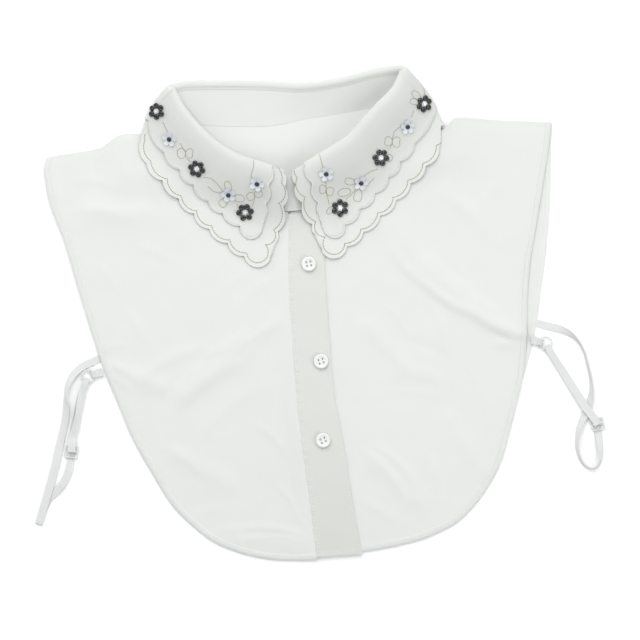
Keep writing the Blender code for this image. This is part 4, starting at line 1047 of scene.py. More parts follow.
def fallPoint(station, down):
    # The leaf with its scallops worked in towards the edge.
    point = leafPoint(station, down)
    if down > 0:
        edge = lobeEdge(station) * max(0.0, (down - 0.66) / 0.34) ** 1.6
        point += edge
        toEnd = min(station, lastStation - station)
        if toEnd < 0.7:
            point += sideEdge(station, down) * (1 - toEnd / 0.7) ** 1.8 * (1 if down < 1 else 1)
        front = frontness(station)
        point.z += front * 0.22 * smooth(down * 2) * (1 + ripple((point.x, point.y, 2.0), 17))
        point.z += front * 0.3 * smooth((down - 0.8) / 0.2) * (1 + ripple((station, 4.0), 0.7)) / 2
    return point


turnRows = [-2.0, -1.5, -1.0, -0.85, -0.7, -0.55, -0.4, -0.25, -0.1, 0.0]
fallRows = [0.025, 0.05, 0.085, 0.13, 0.18, 0.24, 0.30, 0.36, 0.42, 0.48, 0.54, 0.60, 0.66, 0.71,
            0.76, 0.81, 0.86, 0.90, 0.94, 0.97, 1.0]
collarSkin = 0.3


def visualLeaf():
    stationRow = fineStations(0.0, lastStation)
    downRow = turnRows + fallRows

    def place(across, down):
        station, way = stationRow[across], downRow[down]
        return fallPoint(station, way) + leafOutward(station, way) * collarSkin

    piece = clothGrid("collar_leaf_cloth", len(stationRow) - 1, len(downRow) - 1, place, 0.6)
    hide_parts("collar_leaf")
    return finishPiece(piece, leafCloth, angle=70)


def between(table, at):
    # Row before a place in a table's first column, and how far on it is to the next row.
    here = max(i for i in range(len(table) - 1) if table[i][0] <= at + 1e-6 or i == 0)
    return here, (at - table[here][0]) / (table[here + 1][0] - table[here][0])


def stationUnder(x, y, station, down):
    # Station and way down of the leaf's surface at a place, from one near it.
    for attempt in range(6):
        here = leafPoint(station, down)
        step = 0.01 if station < lastStation / 2 else -0.01
        along = (leafPoint(station + step, down) - here) / step
        across = (leafPoint(station, down - 0.01) - here) / -0.01
        offX, offY = x - here.x, y - here.y
        size = along.x * across.y - along.y * across.x
        station += (offX * across.y - offY * across.x) / size
        down += (along.x * offY - along.y * offX) / size
        station = min(lastStation, max(0.0, station))
        down = min(1.0, max(0.0, down))
    return station, down


@functools.lru_cache(maxsize=None)
def tierHem(station):
    # Where the tier's scalloped edge crosses the leaf, as station and way down.
    here, part = between(tierEdge, station)
    first, second = tierEdge[here], tierEdge[here + 1]
    down = first[1] + (second[1] - first[1]) * part
    if not first[2] or part < 1e-6 or part > 1 - 1e-6:
        return station, down
    start, end = leafPoint(first[0], first[1]), leafPoint(second[0], second[1])
    middle = (first[0] + second[0]) / 2
    away = rails(middle)[3] - rails(middle)[1]
    point = lobe(start, end, part, first[2], away)
    return stationUnder(point.x, point.y, station, down)


@functools.lru_cache(maxsize=None)
def tierSide(right, fall):
    # Station of the tier's centre front edge at a way down it.
    table = rightTierFront if right else leftTierFront
    deep = tierEdge[0][1] if right else tierEdge[-1][1]
    fall = max(0.0, fall)
    here, part = between(table, fall)
    first, second = table[here], table[here + 1]
    station = first[1] + (second[1] - first[1]) * part
    if part < 1e-6 or part > 1 - 1e-6:
        return station
    start, end = leafPoint(first[1], first[0] * deep), leafPoint(second[1], second[0] * deep)
    point = lobe(start, end, part, first[2], Vector((1.0 if right else -1.0, 0, 0)))
    return stationUnder(point.x, point.y, station, fall * deep)[0]


tierTurnRows = [-1.3, -1.1, -0.92, -0.8, -0.65, -0.5, -0.35, -0.2, -0.1, 0.0]
tierFalls = [0.035, 0.07, 0.12, 0.18, 0.25, 0.32, 0.40, 0.48, 0.56, 0.64, 0.71, 0.78, 0.84, 0.89,
             0.94, 0.97, 1.0]


def tierPoint(column, fall):
    # The tier's underside: the leaf's surface moved out.
    right = column < lastStation / 2
    end = tierEdge[0][0] if right else tierEdge[-1][0]
    near = max(0.0, 1 - abs(column - end) / tierReach)
    station = column + (tierSide(right, fall) - end) * near ** 1.5
    here, part = between(tierEdge, column)
    way = fall
    if fall > 0:
        deep = tierEdge[here][1] + (tierEdge[here + 1][1] - tierEdge[here][1]) * part
        hemStation, hemWay = tierHem(column)
        late = max(0.0, (fall - 0.62) / 0.38) ** 1.5
        station += (hemStation - column) * late
        way = fall * deep + (hemWay - deep) * late
    sewn = smooth((-0.25 - way) / 0.6)
    lift = (tierLift(station, way) + 0.1) * (1 - sewn) + 0.62 * sewn
    point = leafPoint(station, way) + leafOutward(station, way) * lift
    front = frontness(station)
    point.z += front * 0.2 * smooth(fall * 2) * (1 + ripple((point.x, point.y, 8.0), 15))
    point.z += front * 0.3 * smooth((fall - 0.8) / 0.2) * (1 + ripple((station, 9.0), 0.6)) / 2
    return point


def tierColumns():
    # Even steps in every scallop, then round the side creases and under the back.
    values = []
    for first, second in zip(tierEdge, tierEdge[1:]):
        span = second[0] - first[0]
        steps = 28 if first[2] > 8 else 14 if first[2] else max(2, round(span / 0.25))
        if first[0] < rightCrease[0] + creaseSpan < second[0] or first[0] < leftCrease[0] < second[0]:
            steps = 30
        values += [first[0] + span * step / steps for step in range(steps)]
    return values + [tierEdge[-1][0]]


def visualTier():
    stationRow = tierColumns()
    downRow = tierTurnRows + tierFalls

    def place(across, down):
        return tierPoint(stationRow[across], downRow[down])

    piece = clothGrid("upper_tier_cloth", len(stationRow) - 1, len(downRow) - 1, place, 0.6)
    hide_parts("upper_tier")
    return finishPiece(piece, tierCloth, angle=70)


def visualStand():
    stationRow = [-1.0, -0.75, -0.5, -0.25] + fineStations(0.0, lastStation) + [30.25, 30.5, 30.75, 31.0]
    rows = 14

    def place(across, down):
        station = min(lastStation, max(0.0, stationRow[across]))
        way = foldWay(station, bandBelowFold + 0.15) * down / rows
        past = stationRow[across] - station
        lap = rightLap if past < 0 else leftLap
        point = standPoint(station, way) - Vector((past * lap, 0, 0))
        point += standSide(station) * (-0.15 + 0.12 * ripple((point.x, point.y, way * 9), 11))
        return point

    piece = clothGrid("collar_stand_cloth", len(stationRow) - 1, rows, place, 0.7)
    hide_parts("collar_stand")
    return finishPiece(piece, standCloth, angle=60)


leafPiece = visualLeaf()
tierPiece = visualTier()
standPiece = visualStand()
print("collar ready")


# Straps and tabs: ribbed elastic tape

elasticWhite = clothMaterial("elasticTape", (0.71, 0.715, 0.71), 6, 200, thread=0.9, bumpDepth=0.12)


relaxedShare = 0.87  # elastic lying slack, as a share of its full width


def tape(name, centres, widths, tilts, nodeName):
    # Ribbed tape along a route, tilted where it bends.
    count = len(centres)
    for centre, width, tilt in zip(centres, widths, tilts):
        lean = math.radians(tilt)
        least = (strapWall * math.cos(lean) + width * math.sin(lean)) / 2
        centre.z = max(centre.z, least + 0.16 * (tilt > 0))
    sides, normals = [], []
    side = None
    for index in range(count):
        ahead, behind = centres[min(index + 1, count - 1)], centres[max(index - 1, 0)]
        along = (ahead - behind).normalized()
        if side is None:
            side = Vector((0, 0, 1)).cross(along)
        side = (side - along * side.dot(along)).normalized()
        level = Vector((side.x, side.y, 0)).normalized()
        side = (level - along * level.dot(along)).normalized()
        normal = along.cross(side).normalized()
        tilt = math.radians(tilts[index]) * (1 if normal.z >= 0 else -1)
        sides.append(side * math.cos(tilt) + normal * math.sin(tilt))
        normals.append((normal * math.cos(tilt) - side * math.sin(tilt)))
    columns = 14

    def place(across, down):
        half = widths[down] * relaxedShare / 2
        rib = 0.09 * (-1) ** across if 0 < across < columns else 0.0
        point = centres[down] + sides[down] * half * (2 * across / columns - 1)
        return point + normals[down] * rib

    piece = clothGrid(name, columns, count - 1, place, 0.72)
    piece.modifiers["Thickness"].offset = 0.0
    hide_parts(nodeName)
    return finishPiece(piece, elasticWhite)


def sampled(rows, steps):
    # Evenly spaced rows of a route.
    table = withDistance(rows)
    return [through(table, step / steps) for step in range(steps + 1)]


def strapRun(name, rows, returned, steps):
    # Single tape from the back panel to the slider, with its folded end if it has one.
    values = sampled(rows, steps)
    if returned:
        values += sampled(returned, steps // 2)
    centres = [Vector(value[:3]) for value in values]
    if returned:
        last, following = centres[steps], centres[steps + 1]
        out = (last - centres[steps - 1]).normalized()
        out.z = 0
        middle = (last + following) / 2
        half = (last.z - following.z) / 2
        for number, angle in enumerate((60, 30, 0, -30, -60)):
            turn = math.radians(angle)
            bend = middle + out * layerHalf * math.cos(turn) + Vector((0, 0, half * math.sin(turn)))
            centres.insert(steps + 1 + number, bend)
            values.insert(steps + 1 + number, [0, 0, 0, 0])
    widths = [strapWidth] * len(centres)
    return tape(name + "_tape", centres, widths, [value[3] for value in values], name)


def loopedTape(name, rows, ring, steps):
    # Doubled tape that turns round a ring at its far end.
    values = sampled(rows, steps)
    centre = Vector((ring[0], ring[1], ringHeight))
    ends = [Vector(value[:3]) for value in values]
    towards = centre - ends[-1]
    towards.z = 0
    towards.normalize()
    bar = centre - towards * (ringRadius - 0.4)
    lower, upper, tilts, widths = [], [], [], []
    for index, (value, point) in enumerate(zip(values, ends)):
        part = index / steps
        half = layerHalf + (loopHalf - layerHalf) * smooth((part - 0.7) / 0.3)
        half += 0.35 * smooth(value[3] / 30)
        ahead, behind = ends[min(index + 1, steps)], ends[max(index - 1, 0)]
        along = (ahead - behind).normalized()
        level = Vector((0, 0, 1)).cross(along).normalized()
        upright = along.cross(level).normalized()
        tilt = math.radians(value[3])
        normal = upright * math.cos(tilt) - level * math.sin(tilt)
        lower.append(point - normal * half)
        upper.append(point + normal * half)
        tilts.append(value[3])
        widths.append(strapWidth + (loopWidth - strapWidth) * smooth((part - 0.6) / 0.4))
    turn = []
    for step in range(13):
        angle = -math.pi / 2 + math.pi * step / 12
        turn.append(bar + towards * loopHalf * math.cos(angle)
                    + Vector((0, 0, 1)) * loopHalf * math.sin(angle))
    centres = lower + turn + upper[::-1]
    widths = widths + [loopWidth] * len(turn) + widths[::-1]
    tilts = tilts + [0.0] * len(turn) + tilts[::-1]
    return tape(name + "_tape", centres, widths, tilts, name)


def tab(name, ring):
    # Short doubled tape from the front's hem to the ring.
    away = Vector((math.cos(math.radians(ring[3])), math.sin(math.radians(ring[3])), 0))
    centre = Vector((ring[0], ring[1], 0))
    rows = []
    for part in (1.0, 0.8, 0.55, 0.42):
        point = centre + away * (tabLength * part)
        rows.append((point.x, point.y, tabHeight, 0))
    return loopedTape(name, rows, ring, 12)


strapRun("right_strap", rightRun, rightReturn, 110)
strapRun("left_strap", leftRun, None, 180)
loopedTape("right_strap_loop", rightDouble, rightRing, 60)
loopedTape("left_strap_loop", leftDouble, leftRing, 56)
tab("right_tab", rightRing)
tab("left_tab", leftRing)
print("straps ready")

# Rings, sliders and buttons

clearPlastic = plainMaterial("clearPlastic", (0.90, 0.91, 0.91), 0.22, coat=0.3, grain=0.05,
                             seeThrough=0.45)
clearPlastic.node_tree.nodes["Principled BSDF"].inputs["IOR"].default_value = 1.46
buttonPlastic = plainMaterial("buttonPlastic", (0.77, 0.785, 0.755), 0.34, coat=0.15, grain=0.06)


def visualRing(name, spec):
    bpy.ops.mesh.primitive_torus_add(major_segments=64, minor_segments=16, major_radius=ringRadius * mm,
                                     minor_radius=ringWire * mm,
                                     location=Vector((spec[0], spec[1], ringHeight)) * mm)
    piece = bpy.context.active_object
    piece.name = name + "_moulded"
    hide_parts(name)
    return finishPiece(piece, clearPlastic, angle=80)


def cutAndRound(piece, cutters, bevel, segments):
    # Cuts the openings and rounds what is left.
    for cutter in cutters:
        cut = piece.modifiers.new("Opening", "BOOLEAN")
        cut.object = cutter
        cut.solver = "EXACT"
    applyModifiers(piece)
    for cutter in cutters:
        bpy.data.objects.remove(cutter, do_unlink=True)
    round_ = piece.modifiers.new("Rounded", "BEVEL")
    round_.width = bevel * mm
    round_.segments = segments
    round_.limit_method = "ANGLE"
    applyModifiers(piece)


def visualSlider(name, x, y, heading):
    turned = math.radians(heading)
    along = Vector((math.cos(turned), math.sin(turned), 0))
    middle = Vector((x, y, 1.8))
    window = (sliderLength - 3 * sliderBar) / 2
    boxes = [(middle, (sliderLength, sliderWidth, clothWall))]
    for side in (-1, 1):
        boxes.append((middle + along * side * (window + sliderBar) / 2,
                      (window, sliderWidth - 2 * sliderBar, 4)))
    made = []
    for place, size in boxes:
        bpy.ops.mesh.primitive_cube_add(size=1.0, location=place * mm, rotation=(0, 0, turned),
                                        scale=Vector(size) * mm)
        made.append(bpy.context.active_object)
        bpy.ops.object.transform_apply(location=False, rotation=False, scale=True)
    piece = made[0]
    piece.name = name + "_moulded"
    cutAndRound(piece, made[1:], 0.28, 3)
    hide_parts(name)
    return finishPiece(piece, clearPlastic)


for side, spec in (("right", rightRing), ("left", leftRing)):
    visualRing(side + "_ring", spec)
visualSlider("right_slider", -175.6, -82.0, 80.0)
visualSlider("left_slider", 200.2, -88.6, 100.0)

buttonProfile = [
    (0.0, -1.05), (3.9, -1.05), (4.6, -0.9), (5.05, -0.5), (5.28, 0.05), (5.2, 0.5), (4.95, 0.85),
    (4.55, 1.05), (4.1, 1.08), (3.7, 0.95), (3.35, 0.72), (3.0, 0.58), (0.0, 0.55),
]


def visualButton(name, x, y, turn):
    top = neckRise(x, y) + 2 * layerStep + bandWall
    middle = Vector((x, y, top + seamGap + buttonThickness / 2))
    mesh = bpy.data.meshes.new(name)
    mesh.from_pydata([(r * mm, 0, z * mm) for r, z in buttonProfile],
                     [(i, i + 1) for i in range(len(buttonProfile) - 1)], [])
    piece = bpy.data.objects.new(name + "_turned", mesh)
    bpy.context.scene.collection.objects.link(piece)
    screw = piece.modifiers.new("Turned", "SCREW")
    screw.steps = screw.render_steps = 56
    screw.use_merge_vertices = True
    screw.merge_threshold = 0.00001
    applyModifiers(piece)
    piece.location = middle * mm
    cutters = []
    for quarter in range(4):
        angle = turn + quarter * math.pi / 2
        spot = middle + Vector((math.cos(angle), math.sin(angle), 0)) * threadHoleSpread * math.sqrt(2)
        bpy.ops.mesh.primitive_cylinder_add(vertices=24, radius=threadHoleRadius * mm, depth=6 * mm,
                                            location=spot * mm)
        cutters.append(bpy.context.active_object)
    pick(piece)
    bpy.ops.object.mode_set(mode="EDIT")
    bpy.ops.mesh.select_all(action="SELECT")
    bpy.ops.mesh.remove_doubles(threshold=0.00001)
    bpy.ops.mesh.normals_make_consistent(inside=False)
    bpy.ops.object.mode_set(mode="OBJECT")
    cutAndRound(piece, cutters, 0.14, 2)
    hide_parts(name)
    return finishPiece(piece, buttonPlastic, angle=35)


for number, (x, y) in enumerate(buttonPlaces, 1):
    visualButton("button_" + str(number), x, y, math.radians(45 + 7 * number))
print("hardware ready")

# Sewing and beads, all set down on the cloth below them

collarTree = surfaceTree([leafPiece, tierPiece])
bodyTree = surfaceTree([rightFront, leftFront, backPanel, bandPiece])
allTree = surfaceTree([leafPiece, tierPiece, rightFront, leftFront, backPanel, bandPiece, standPiece])


def polyline(points, step=0.5):
    # Close points along a smooth curve through a few.
    rows = withDistance(points)
    total = sum(math.dist(a[:2], b[:2]) for a, b in zip(points, points[1:]))
    count = max(2, round(total / step))
    return [through(rows, number / count) for number in range(count + 1)]


def scallops(cusps, rises, away):
    # A stitched line of round lobes through its cusps.
    line = []
    for first, second, rise in zip(cusps, cusps[1:], rises):
        start, end = Vector((*first, 0)), Vector((*second, 0))
        count = 40 if rise > 8 else 24
        for number in range(count + (second is cusps[-1])):
            point = lobe(start, end, number / count, rise, Vector((*away, 0)))
            line.append((point.x, point.y))
    return line


def evenly(line, pitch):
    # Middles and directions at an even pitch along a close line.
    spots, wait = [], pitch / 2
    for (x0, y0), (x1, y1) in zip(line, line[1:]):
        length = math.dist((x0, y0), (x1, y1))
        at = wait
        while at < length:
            spots.append((x0 + (x1 - x0) * at / length, y0 + (y1 - y0) * at / length,
                          (x1 - x0) / length, (y1 - y0) / length))
            at += pitch
        wait = at - length
    return spots


def roundStitch():
    bpy.ops.mesh.primitive_uv_sphere_add(segments=8, ring_count=6, radius=1.0,
                                         rotation=(0, math.pi / 2, 0))
    pick(bpy.context.active_object)
    bpy.ops.object.transform_apply(rotation=True)


stitchShape = template(roundStitch)
chance = random.Random(4)


def stitches(spots, lines, tree, length, width, pitch, height=0.1, turn=0.0):
    # Adds a stitch at every step of the lines, each a little uneven.
    for line in lines:
        for x, y, alongX, alongY in evenly(line, pitch):
            place, normal = dropTo(tree, x, y)
            skew = turn + chance.uniform(-0.06, 0.06)
            along = Vector((alongX * math.cos(skew) - alongY * math.sin(skew),
                            alongX * math.sin(skew) + alongY * math.cos(skew), 0))
            along = (along - normal * along.dot(normal)).normalized()
            uneven = chance.uniform(0.9, 1.08)
            spots.append((place + normal * height, along, normal,
                          (length / 2 * uneven, width / 2, width / 2 * 0.9)))


# Gold scallop lines: cusps of the long edges, round the tips and up the centre front
leftLeafLong = [(-106.8, 140.6), (-107.7, 135.6), (-104.6, 121.1), (-93.7, 107.3), (-84.5, 94.8),
                (-74.5, 83.4), (-64.6, 71.9), (-52.3, 60.9), (-41.0, 51.0)]
leftLeafShort = [(-27.2, 55.7), (-20.6, 66.1), (-15.4, 84.3), (-12.7, 98.1), (-14.6, 109.4)]
rightLeafLong = [(103.6, 131.0), (104.2, 123.9), (99.0, 117.8), (88.6, 105.7), (77.1, 94.6),
                 (65.9, 83.1), (54.1, 72.8), (41.4, 62.1), (29.2, 52.9)]
rightLeafShort = [(15.7, 58.3), (9.7, 69.7), (3.3, 87.5), (-1.1, 101.5), (-2.0, 108.6)]
goldSpots = []
goldLines = [
    scallops(leftLeafLong, [0.6, 2.6] + [3.0] * 6, (-0.7, -0.7)),
    scallops([leftLeafLong[-1], leftLeafShort[0]], [10.1], (0.3, -1)),
    scallops(leftLeafShort, [3.9, 4.1, 3.6, 1.6], (1, 0)),
    scallops(rightLeafLong, [0.6, 1.6] + [3.0] * 6, (0.7, -0.7)),
    scallops([rightLeafLong[-1], rightLeafShort[0]], [10.3], (-0.4, -1)),
    scallops(rightLeafShort, [3.7, 3.9, 3.4, 1.4], (-1, 0)),
]
stitches(goldSpots, goldLines, collarTree, 1.95, 0.5, 1.98)

# Embroidered stems, each a few places along its run
stems = [
    [(-93.7, 147.5), (-90.7, 140.3), (-88.5, 137.4)], [(-82.3, 131.7), (-80.6, 127.5), (-79.3, 125.1)],
    [(-78.5, 120.4), (-76.2, 118.1)], [(-67.5, 106.5), (-61.6, 104.6), (-56.9, 99.2), (-54.4, 94.7)],
    [(-65.0, 99.8), (-61.1, 96.0), (-55.2, 94.5)],
    [(-31.5, 119.0), (-31.5, 112.0), (-33.7, 104.6), (-32.2, 101.0)],
    [(-34.7, 83.8), (-32.8, 87.9), (-32.2, 92.7)], [(-45.8, 86.9), (-44.6, 83.6)],
    [(92.8, 159.0), (92.9, 154.0)], [(84.6, 143.0), (82.3, 138.5)],
    [(74.6, 132.6), (70.1, 129.5), (68.3, 125.1), (67.5, 121.1), (64.7, 116.3)],
    [(56.5, 103.8), (50.7, 102.2), (46.4, 99.5), (44.7, 96.7)], [(48.3, 93.2), (52.8, 97.1)],
    [(31.9, 84.1), (36.5, 87.2), (40.2, 91.7)], [(15.3, 118.7), (16.3, 112.7), (17.7, 106.3)],
    [(18.9, 98.9), (18.7, 90.5), (20.0, 81.3)],
]
stitches(goldSpots, [polyline(stem) for stem in stems], collarTree, 1.25, 0.42, 1.3)

# Loop leaves: x and y where they join the stem, x and y of the middle, half width, notch
loopLeaves = [
    (-79.0, 124.6, -82.1, 124.4, 3.6, 0.2), (-79.0, 124.6, -76.2, 123.9, 3.3, 0.9),
    (-49.9, 94.4, -50.7, 98.6, 2.3, 0.5), (-52.8, 89.2, -55.4, 87.3, 2.9, 0.9),
    (-47.3, 90.9, -43.4, 89.9, 2.5, 0.3), (-32.4, 92.0, -35.3, 90.6, 2.7, 0.7),
    (-32.4, 92.0, -29.4, 91.8, 2.4, 0.3), (18.7, 91.9, 16.1, 92.0, 3.0, 0.7),
    (18.6, 91.6, 21.3, 90.1, 3.0, 0.9), (22.7, 79.3, 20.4, 76.9, 1.8, 0.3),
    (67.8, 122.2, 64.9, 122.7, 3.2, 0.8), (67.8, 122.2, 70.9, 121.8, 3.6, 1.0),
    (62.6, 111.4, 65.0, 111.1, 2.4, 0.3), (39.3, 95.3, 35.6, 96.3, 2.4, 0.6),
    (36.0, 89.8, 31.3, 89.0, 2.7, 0.3), (42.1, 90.1, 40.9, 85.6, 2.9, 1.0),
    (89.6, 151.1, 86.8, 153.8, 2.3, 0.3), (88.0, 148.3, 85.0, 149.2, 2.0, 0.3),
]
loopLines = []
for joinX, joinY, x, y, half, notch in loopLeaves:
    reach = Vector((x - joinX, y - joinY))
    side = Vector((-reach.y, reach.x)).normalized()
    line = []
    for number in range(49):
        turn = 2 * math.pi * number / 48
        out = 1 - math.cos(turn) - notch * math.exp(-((turn - math.pi) / 0.45) ** 2) / reach.length
        point = Vector((joinX, joinY)) + reach * out + side * half * math.sin(turn)
        line.append((point.x, point.y))
    loopLines.append(line)
stitches(goldSpots, loopLines, collarTree, 1.15, 0.4, 1.15)
joinedCopies("gold_stitches", stitchShape, goldSpots, goldThread)

# White satin edge of the upper tier
satinSpots = []
tierLine = [(column, tierPoint(column, 0.975)) for column in tierColumns()]
tierLines = [[(point.x, point.y) for column, point in tierLine if column < rightCrease[0]],
             [(point.x, point.y) for column, point in tierLine if column > leftCrease[0] + creaseSpan]]
for column in (tierEdge[0][0] + 0.05, tierEdge[-1][0] - 0.05):
    tierLines.append([tuple(tierPoint(column, 0.03 + 0.94 * number / 80)[:2]) for number in range(81)])
stitches(satinSpots, tierLines, collarTree, 1.5, 0.42, 0.42, height=0.06,
         turn=math.pi / 2)
satinThread = plainMaterial("satinThread", (0.74, 0.75, 0.73), 0.5, grain=0.5)
joinedCopies("satin_edge", stitchShape, satinSpots, satinThread)
print("embroidery ready")

# White running stitches: hems, shoulders, band
whiteSpots = []
hemLines = []
for outline, sign in ((rightFrontOutline, -1), (leftFrontOutline, 1)):
    for inset in (1.0, 3.1):
        hemLines.append([tuple(point) for point in polyline(shiftInwards(outline, inset)[1:], 0.8)])
for inset in (1.0, 3.1):
    hemLines.append([tuple(point) for point in polyline(shiftInwards(backLeftArmhole, inset)[1:-1], 0.8)])
stitches(whiteSpots, hemLines, bodyTree, 2.1, 0.34, 2.7)
bandLines = []
for reach in (1.0, 2.6):
    bandLines.append([(bandEdges(y)[0] + reach, y) for y in range(-166, 75)])
bandLines.append([(bandEdges(y)[1] - 1.3, y) for y in range(-166, 75)])
stitches(whiteSpots, bandLines, bodyTree, 2.1, 0.34, 2.7)
for side in (-1, 1):
    shoulder = rightShoulder if side < 0 else leftShoulder
    seam = [(x, y - 1.6) for x, y in shoulder if abs(x) > (112 if side < 0 else 106)]
    stitches(whiteSpots, [polyline(seam, 0.8)], bodyTree, 2.1, 0.34, 2.7)
joinedCopies("white_stitches", stitchShape, whiteSpots, whiteThread)

# Buttonholes: two satin stitched sides and a bar at each end, slit between them
holeSpots = []
for x, y in buttonPlaces:
    top, low = y + 6.0, y - 7.2
    for side in (-0.55, 0.55):
        stitches(holeSpots, [[(x + side, top), (x + side, low)]], bodyTree, 1.0, 0.34, 0.36,
                 height=0.08, turn=math.pi / 2)
    for end in (top, low):
        stitches(holeSpots, [[(x, end + 0.5), (x, end - 0.5)]], bodyTree, 2.3, 0.36, 0.34,
                 height=0.12, turn=math.pi / 2)
joinedCopies("buttonholes", stitchShape, holeSpots, whiteThread)

# Thread through the four holes of each button
threadSpots = []
for number, (x, y) in enumerate(buttonPlaces, 1):
    top = neckRise(x, y) + 2 * layerStep + bandWall + seamGap + buttonThickness / 2
    turn = math.radians(45 + 7 * number)
    for side in (-1, 1):
        across = Vector((math.cos(turn + math.pi / 4), math.sin(turn + math.pi / 4), 0))
        along = Vector((-across.y, across.x, 0))
        for shift in (-0.22, 0.0, 0.22):
            place = Vector((x, y, top + 0.62)) + across * (side * threadHoleSpread + shift)
            threadSpots.append((place, along, Vector((0, 0, 1)), (threadHoleSpread + 0.35, 0.17, 0.2)))
joinedCopies("button_thread", stitchShape, threadSpots, whiteThread)
print("seams ready")

# Black bead flowers with a clear stone in the middle: x, y, turn in degrees
blackGlass = plainMaterial("blackGlass", (0.012, 0.012, 0.014), 0.08, coat=0.6, grain=0.03)
clearStone = plainMaterial("clearStone", (0.93, 0.95, 0.97), 0.05, metallic=0.35, coat=1.0, grain=0.02)
pearlFilm = plainMaterial("pearlSequin", (0.64, 0.68, 0.72), 0.3, coat=0.7, grain=0.06)
filmSocket = pearlFilm.node_tree.nodes["Principled BSDF"].inputs
filmSocket["Thin Film Thickness"].default_value = 230
filmSocket["Thin Film IOR"].default_value = 1.5

beadFlowers = [(-97.6, 155.6, 30), (-71.8, 112.8, 40), (-39.9, 79.9, 5), (27.4, 78.2, 25),
               (58.8, 111.7, 50), (92.2, 147.7, 15)]
sequinFlowers = [(-89.7, 135.1, 10), (-50.8, 93.0, 95), (-29.9, 99.0, 60), (19.3, 102.6, 30),
                 (43.6, 94.9, 75), (79.2, 132.2, 20)]


def beadRing():
    bpy.ops.mesh.primitive_torus_add(major_segments=20, minor_segments=10, major_radius=1.24,
                                     minor_radius=0.89)


def stone():
    # A faceted cone with a flat table on top.
    bpy.ops.mesh.primitive_cone_add(vertices=10, radius1=2.15, radius2=1.15, depth=1.1,
                                    location=(0, 0, 0.85))
    pick(bpy.context.active_object)
    bpy.ops.object.transform_apply(location=True)


def stoneCup():
    bpy.ops.mesh.primitive_torus_add(major_segments=24, minor_segments=8, major_radius=2.1,
                                     minor_radius=0.28, location=(0, 0, 0.35))
    pick(bpy.context.active_object)
    bpy.ops.object.transform_apply(location=True)


def sequinPetals():
    # Five cupped petals, a grid wrapped round its middle.
    around, out = 60, 6
    bpy.ops.mesh.primitive_grid_add(x_subdivisions=around, y_subdivisions=out, size=2.0)
    piece = bpy.context.active_object
    for vertex in piece.data.vertices:
        turn = 2 * math.pi * (vertex.co.x + 1) / 2
        reach = (vertex.co.y + 1) / 2
        petal = abs(math.cos(2.5 * turn)) ** 0.55
        rim = 5.4 * (0.50 + 0.50 * petal)
        radius = 0.5 + (rim - 0.5) * reach
        lift = 0.35 + 1.0 * reach ** 1.6 - 0.55 * reach * (1 - petal)
        vertex.co = Vector((radius * math.cos(turn), radius * math.sin(turn), lift))
    pick(piece)
    bpy.ops.object.mode_set(mode="EDIT")
    bpy.ops.mesh.select_all(action="SELECT")
    bpy.ops.mesh.remove_doubles(threshold=0.01)
    bpy.ops.object.mode_set(mode="OBJECT")
    film = piece.modifiers.new("Film", "SOLIDIFY")
    film.thickness = 0.12


beadSpots, stoneSpots, cupSpots, sequinSpots = [], [], [], []
one = (1, 1, 1)
stoneSize = (0.8, 0.8, 0.9)
for x, y, turn in beadFlowers:
    middle, normal = dropTo(collarTree, x, y)
    first = Vector((math.cos(math.radians(turn)), math.sin(math.radians(turn)), 0))
    first = (first - normal * first.dot(normal)).normalized()
    second = normal.cross(first)
    for number in range(6):
        angle = number * math.pi / 3 + chance.uniform(-0.06, 0.06)
        out = first * math.cos(angle) + second * math.sin(angle)
        spot = middle + normal * 1.2 + out * chance.uniform(4.15, 4.4)
        ground, ownNormal = nearestOn(collarTree, spot)
        tilt = (ownNormal + out * chance.uniform(-0.2, 0.3)).normalized()
        beadSpots.append((ground + ownNormal * 0.95, (out - tilt * out.dot(tilt)), tilt, one))
    stoneSpots.append((middle + normal * 0.35, first, normal, stoneSize))
    cupSpots.append((middle + normal * 0.35, first, normal, stoneSize))
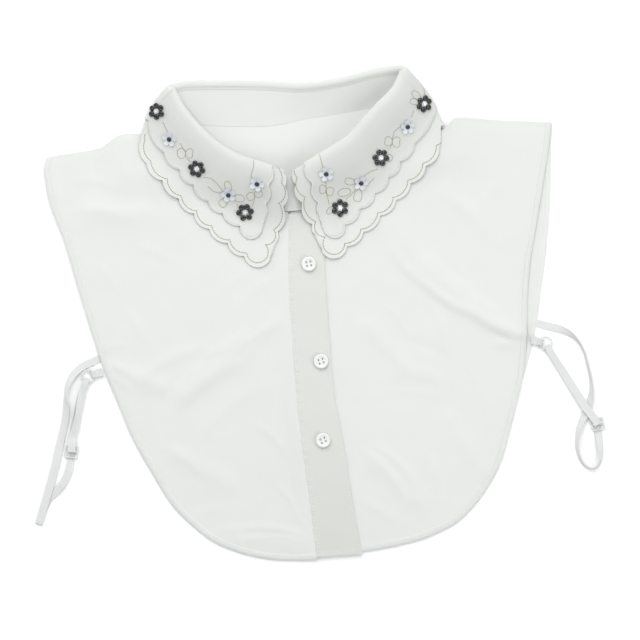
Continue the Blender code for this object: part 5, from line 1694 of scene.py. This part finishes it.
for x, y, turn in sequinFlowers:
    middle, normal = dropTo(collarTree, x, y)
    first = Vector((math.cos(math.radians(turn)), math.sin(math.radians(turn)), 0))
    first = (first - normal * first.dot(normal)).normalized()
    sequinSpots.append((middle + normal * 0.15, first, normal, one))
    beadSpots.append((middle + normal * 1.35, first, (normal + first * 0.5).normalized(),
                      (0.8, 0.8, 0.9)))
joinedCopies("black_beads", template(beadRing), beadSpots, blackGlass)
stones = joinedCopies("clear_stones", template(stone), stoneSpots, clearStone)
pick(stones)
bpy.ops.object.shade_flat()
joinedCopies("stone_cups", template(stoneCup), cupSpots, clearStone)
joinedCopies("sequin_flowers", template(sequinPetals), sequinSpots, pearlFilm)
print("beads ready")

# Floor, light and camera

bpy.ops.mesh.primitive_plane_add(size=6.0, location=(0, 0, 0))
floor = bpy.context.active_object
floor.name = "floor"
floor.data.materials.append(plainMaterial("paleFloor", (0.99, 0.99, 0.99), 0.95, grain=0.02))

world = bpy.data.worlds.new("studio")
bpy.context.scene.world = world
world.use_nodes = True
world.node_tree.nodes["Background"].inputs["Color"].default_value = (0.98, 0.99, 1.0, 1)
world.node_tree.nodes["Background"].inputs["Strength"].default_value = 0.55


def softLight(name, place, size, power, aim=(0, 0, 0)):
    lamp = bpy.data.lights.new(name, "AREA")
    lamp.shape = "RECTANGLE"
    lamp.size, lamp.size_y = size
    lamp.energy = power
    light = bpy.data.objects.new(name, lamp)
    light.location = place
    light.rotation_euler = (Vector(aim) - Vector(place)).to_track_quat("-Z", "Y").to_euler()
    bpy.context.scene.collection.objects.link(light)


softLight("skyPanel", (-0.12, 0.8, 1.3), (1.5, 1.2), 15.8)
softLight("lowPanel", (-0.9, 1.0, 0.4), (0.7, 0.4), 2.4)
softLight("fillPanel", (0.9, -0.6, 1.1), (1.2, 1.2), 6.4)

lens = bpy.data.cameras.new("camera")
lens.sensor_width = 36
lens.lens = 200
camera = bpy.data.objects.new("camera", lens)
distance = 0.457 * 200 / 36
camera.location = (0.0078, -0.0005, distance)
camera.rotation_euler = (0, 0, math.radians(-4))
bpy.context.scene.collection.objects.link(camera)
bpy.context.scene.camera = camera
bpy.context.scene.view_settings.view_transform = "Standard"
